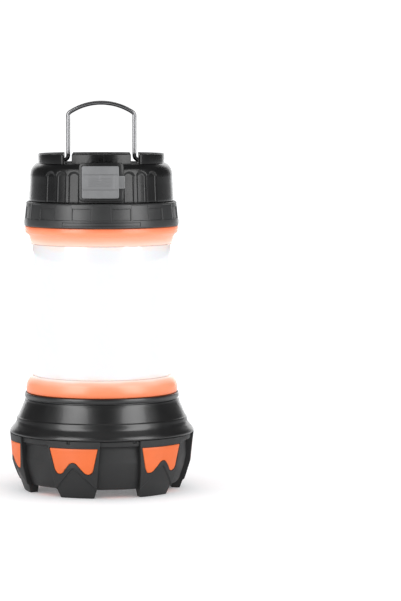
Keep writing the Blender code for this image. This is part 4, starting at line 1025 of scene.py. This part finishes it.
def build_bail():
    """Round steel wire: two legs, an arc about the pivot and ends turned out into the blocks."""
    radius, half, arc_r, bend = 1.2 * MM, 19.7 * MM, 33.9 * MM, 2.6 * MM
    rise = math.sqrt((arc_r - bend) ** 2 - (half - bend) ** 2)
    lean = math.atan2(rise, half - bend)
    right = [Vector((half + 5.5 * MM, 0, 0)), Vector((half + 3.4 * MM, 0, 0))]
    right += [Vector((half + bend - bend * math.sin(t), 0, bend - bend * math.cos(t)))
              for t in (math.pi / 2 * i / 8 for i in range(9))]
    right += [Vector((half, 0, bend + (rise - bend) * i / 8)) for i in range(1, 8)]
    right += [Vector((half - bend + bend * math.cos(t), 0, rise + bend * math.sin(t)))
              for t in (lean * i / 6 for i in range(7))]
    over = [Vector((arc_r * math.cos(t), 0, arc_r * math.sin(t)))
            for t in (lean + (math.pi - 2 * lean) * i / 28 for i in range(1, 28))]
    path = right + over + [Vector((-p.x, 0, p.z)) for p in reversed(right)]
    turns = [2 * math.pi * k / 20 for k in range(20)]
    stations = []
    for i, point in enumerate(path):
        along = (path[min(i + 1, len(path) - 1)] - path[max(i - 1, 0)]).normalized()
        side = Vector((-along.z, 0, along.x))
        stations.append([point + side * radius * math.cos(t) + Vector((0, radius * math.sin(t), 0))
                         for t in turns])
    bm = swept(stations)
    soften(bm, [e for e in bm.edges if e.calc_face_angle(0) > 1], 0.3 * MM)
    bmesh.ops.translate(bm, vec=(0, 0, BAIL_PIVOT_Z), verts=bm.verts)
    piece(bm, "carrying_bail", "bail_steel", "bail", "steel", "bail", place=TAIL, sharp=60)


# ---------------------------------------------------------------- handle

# (outer z, outer r, inner z, inner r, spine crest z, spine crest r, half width) down the handle, in mm
HANDLE_ROWS = [
    (44.6, 44.0, 57.9, 40.0, 31.5, 44.0, 16.5), (44.6, 52.2, 57.9, 47.5, 31.5, 54.0, 16.5),
    (40.6, 59.5, 57.9, 52.5, 31.8, 60.5, 13.9), (39.1, 66.9, 58.0, 57.0, 32.8, 67.5, 12.5),
    (40.2, 72.2, 59.2, 62.8, 34.4, 75.0, 11.5), (43.0, 77.4, 61.6, 67.6, 38.6, 82.0, 11.5),
    (47.4, 82.6, 64.8, 71.2, 44.8, 87.4, 11.5), (53.6, 87.1, 69.0, 72.9, 52.6, 90.7, 11.5),
    (62.0, 90.2, 74.0, 73.7, 62.0, 92.2, 11.5), (74.0, 90.9, 80.0, 74.0, 74.0, 92.3, 11.5),
    (100.0, 90.9, 100.0, 74.5, 100.0, 92.3, 11.5), (130.0, 90.9, 130.0, 74.9, 130.0, 92.3, 11.5),
    (155.0, 90.9, 155.0, 75.7, 155.0, 92.3, 11.5), (161.5, 90.0, 161.5, 76.5, 162.0, 91.7, 11.5),
    (164.8, 86.4, 164.8, 79.1, 167.0, 88.9, 10.5),
]
SHARE_LOW, SHARE_HIGH = 0.2, 0.76
INLAY_T = 1.2 * MM


def smooth_rows(start=0, stop=None, parts=4):
    """The handle's rows with Catmull-Rom steps between them."""
    rows = HANDLE_ROWS[start:stop]
    result = []
    for i in range(len(rows) - 1):
        around = [rows[max(i - 1, 0)], rows[i], rows[i + 1], rows[min(i + 2, len(rows) - 1)]]
        for step in range(parts):
            t = step / parts
            result.append(tuple(
                0.5 * (2 * b + (c - a) * t + (2 * a - 5 * b + 4 * c - d) * t * t
                       + (3 * b - a - 3 * c + d) * t ** 3)
                for a, b, c, d in zip(*around)))
    return result + [rows[-1]]


def between(a, b, share):
    return tuple(p + (q - p) * share for p, q in zip(a, b))


def shell_loop(row, side):
    outer, inner, half = (row[0] * MM, row[1] * MM), (row[2] * MM, row[3] * MM), row[6] * MM
    seam = 0.15 * MM
    outline = [(0.0, seam), (0.0, half - 2.6 * MM)]
    outline += [(0.13 * (1 - math.cos(t)), half - 2.6 * MM + 2.6 * MM * math.sin(t))
                for t in (math.pi / 2 * i / 6 for i in range(1, 7))]
    outline += [(0.3, half), (0.45, half), (0.6, half), (0.74, half)]
    outline += [(0.78 + 0.22 * math.sin(t), half - 3.6 * MM + 3.6 * MM * math.cos(t))
                for t in (math.pi / 2 * i / 7 for i in range(0, 8))]
    outline += [(1.0, seam)]
    return [(side * x, *reversed(between(outer, inner, share))) for share, x in outline]


def spine_loop(row):
    outer, crest, inner = (row[0] * MM, row[1] * MM), (row[4] * MM, row[5] * MM), (row[2] * MM, row[3] * MM)
    length = math.dist(outer, inner)
    base = tuple(o + (o - i) / length * 0.3 * MM for o, i in zip(outer, inner))
    half = 9.0 * MM + max(0.0, row[6] - 11.5) * MM
    outline = [(0.0, half), (0.5, half), (0.72, half - 0.35 * MM), (0.88, half - 1.1 * MM),
               (0.97, half - 2.2 * MM), (1.0, half - 3.4 * MM), (1.0, 0.9 * MM), (0.93, 0.45 * MM),
               (0.5, 0.3 * MM)]
    left = [(-x, *reversed(between(base, crest, share))) for share, x in outline]
    right = [(x, *reversed(between(base, crest, share))) for share, x in reversed(outline)]
    return left + right


def inlay_loops(side, margin, depth_out, depth_in, crown):
    """Stations of the inlay strip, narrowing to rounded ends."""
    rows = smooth_rows(2, -1)
    count = len(rows) - 1
    for number, row in enumerate(rows):
        outer, inner, half = (row[0] * MM, row[1] * MM), (row[2] * MM, row[3] * MM), row[6] * MM
        grow = margin / math.dist(outer, inner)
        start = ease(number / count, 0.0, 0.12)
        finish = math.sqrt(max(0.0, 1 - max(0.0, (number / count - 0.95) / 0.05) ** 2))
        low = 0.3 + (SHARE_LOW - 0.3) * start
        high = 0.55 + (SHARE_HIGH - 0.55) * start
        middle, narrowing = (low + high) / 2, 0.6 + 0.4 * finish
        low, high = middle + (low - middle) * narrowing, middle + (high - middle) * narrowing
        low, high = low - grow, high + grow
        lip = min(0.05, (high - low) / 4)
        loop = []
        for share, out in ((low, depth_out - crown), (low + lip * 0.3, depth_out - crown * 0.3),
                           (low + lip, depth_out), (high - lip, depth_out),
                           (high - lip * 0.3, depth_out - crown * 0.3), (high, depth_out - crown),
                           (high, -depth_in), (low, -depth_in)):
            z, radius = between(outer, inner, share)
            loop.append((side * (half + out), radius, z))
        yield loop


def build_handle():
    """Side handle: two shells on a parting plane, a grey spine and an orange inlay on each side."""
    neck = [
        (0.0, 10.0 * MM, 0.0), (WALL_R + 0.3 * MM, 10.0 * MM, 0.0), (WALL_R + 0.3 * MM, 30.7 * MM, 0.0),
        (HEAD_R + 0.3 * MM, 30.7 * MM, 0.0), (HEAD_R + 0.3 * MM, 36.6 * MM, 0.3 * MM),
        (51.3 * MM, 41.0 * MM, 0.3 * MM), (51.0 * MM, 43.9 * MM, 0.0), (46.5 * MM, 53.7 * MM, 0.0),
        (46.3 * MM, 72.0 * MM, 0.0), (0.0, 72.0 * MM, 0.0),
    ]
    rows = smooth_rows()

    def part(loops, name, material, record_slot, node, *cutters):
        obj = object_of(swept(loops), name, material, LAMP)
        for number, cutter in enumerate((*cutters, spun(neck, FINE, 0.0)), 1):
            combined(obj, object_of(cutter, f"{name}_form_{number}", material, LAMP), "DIFFERENCE")
        carved(obj, "lamp", record_slot, node, 36)

    for side, word in ((-1, "left"), (1, "right")):
        part([shell_loop(row, side) for row in rows], f"grip_shell_{word}", "gloss_black", "gloss_black",
             f"handle_{word}", swept(list(inlay_loops(side, 0.35 * MM, 3 * MM, INLAY_T + 0.3 * MM, 0.0))))
        strip = swept(list(inlay_loops(side, 0.0, 0.05 * MM, INLAY_T - 0.1 * MM, 0.25 * MM)))
        piece(strip, f"grip_inlay_{word}", "insert_orange", "lamp", "orange", f"handle_inlay_{word}",
              sharp=50)
    part([spine_loop(row) for row in rows], "grip_spine", "grip_grey", "dark_grey", "handle_spine")


# ---------------------------------------------------------------- build

build_bumper()
build_torch()
build_housing()
build_lantern()
build_collar()
build_tail_housing()
build_port_cover()
build_sockets()
build_button()
build_bail()
build_handle()

KEPT = {
    "inner_black": ("lens_gasket", "tail_seal", "thread_base", "battery_holder", "tact_switch"),
    "machined_aluminium": ("heat_sink", "led_column"),
    "circuit_board": ("torch_led_board", "side_led_board_front", "side_led_board_back", "usb_board"),
    "contact_brass": ("contact_plate",),
    "bare_steel": ("contact_spring_1", "contact_spring_2", "board_screw_1", "board_screw_2",
                   "handle_screw_1", "handle_screw_2", "handle_screw_3"),
    "cell_sleeve": ("battery_cell_1", "battery_cell_2"),
}
for finish_name, nodes in KEPT.items():
    for node in nodes:
        for slot in bpy.data.objects[node].material_slots:
            slot.material = MATERIALS[finish_name]

# ---------------------------------------------------------------- stage, light and camera


def pale_stone():
    """Near-white floor with a faint cloudy tone."""
    made, tree, shader = shader_of("pale_stone")
    texture = place_group(tree, GRAIN, {"Size": 40.0, "Mottle": 3.0})
    tone = mixed(tree, texture.outputs["Tone"], (0.89, 0.885, 0.88), (0.94, 0.935, 0.93))
    tree.links.new(tone, shader.inputs["Base Color"])
    tree.links.new(spread(tree, texture.outputs["Tone"], 0.5, 0.6), shader.inputs["Roughness"])
    bumped(tree, shader, texture.outputs["Height"], 0.2, 0.0002)
    shader.inputs["Specular IOR Level"].default_value = 0.0
    shader.inputs["Emission Color"].default_value = (1.0, 0.99, 1.0, 1.0)
    shader.inputs["Emission Strength"].default_value = 0.17
    return made


floor_mesh = bmesh.new()
bmesh.ops.create_circle(floor_mesh, cap_ends=True, segments=96, radius=9.0)
MATERIALS["pale_stone"] = pale_stone()
floor = object_of(floor_mesh, "floor", "pale_stone", Matrix.Translation((0, 0, -0.0001)))


def area_light(name, power, size, at, aim, colour=(1.0, 1.0, 1.0)):
    data = bpy.data.lights.new(name, "AREA")
    data.energy = power
    data.shape = "RECTANGLE"
    data.size, data.size_y = size
    data.color = colour
    light = bpy.data.objects.new(name, data)
    light.location = at
    light.rotation_euler = (Vector(aim) - Vector(at)).to_track_quat("-Z", "Y").to_euler()
    light.visible_diffuse = False
    bpy.context.collection.objects.link(light)
    return light


VIEW = -11.5  # degrees round the lamp from straight ahead, toward the left
CAMERA_TILT, CAMERA_YAW = 90 - 4.309, -13.48
middle = (0.0, AXIS_Y, 0.11)


def round_lamp(degrees, distance, height):
    point = polar(math.radians(VIEW + degrees), distance, height)
    return (point.x, point.y + AXIS_Y, height)


lights = [
    area_light("left_window", 18.0, (0.75, 1.3), round_lamp(-43, 1.15, 0.5), middle),
    area_light("right_window", 18.0, (0.7, 1.3), round_lamp(51, 1.15, 0.5), middle),
    area_light("overhead", 1.2, (0.7, 0.7), round_lamp(0, 0.1, 1.3), middle),
    area_light("rear_left", 3.0, (0.5, 0.9), round_lamp(-162, 1.2, 0.3), middle),
    area_light("rear_right", 3.0, (0.5, 0.9), round_lamp(162, 1.2, 0.3), middle),
]

world = bpy.data.worlds.new("studio")
bpy.context.scene.world = world
world.use_nodes = True
sky = world.node_tree
sky.nodes.clear()
out = sky.nodes.new("ShaderNodeOutputWorld")
path = sky.nodes.new("ShaderNodeLightPath")
shades = [
    add_node(sky, "ShaderNodeBackground", values={"Color": colour, "Strength": strength})
    for colour, strength in (((0.96, 0.98, 1, 1), 1.15), ((1, 1, 1, 1), 0.1), ((1, 1, 1, 1), 1.05))
]
previous = shades[0]
for shade, ray in zip(shades[1:], ("Is Glossy Ray", "Is Camera Ray")):
    choose = sky.nodes.new("ShaderNodeMixShader")
    sky.links.new(path.outputs[ray], choose.inputs["Fac"])
    sky.links.new(previous.outputs[0], choose.inputs[1])
    sky.links.new(shade.outputs[0], choose.inputs[2])
    previous = choose
sky.links.new(previous.outputs[0], out.inputs["Surface"])

camera_data = bpy.data.cameras.new("camera")
camera_data.lens = 171.7
camera_data.sensor_width = 36.0
camera = bpy.data.objects.new("camera", camera_data)
camera.location = round_lamp(0, 1.71, 0.2415)
camera.rotation_euler = (math.radians(CAMERA_TILT), 0.0, math.radians(CAMERA_YAW))
bpy.context.collection.objects.link(camera)
bpy.context.scene.camera = camera
bpy.context.scene.view_settings.view_transform = "Standard"
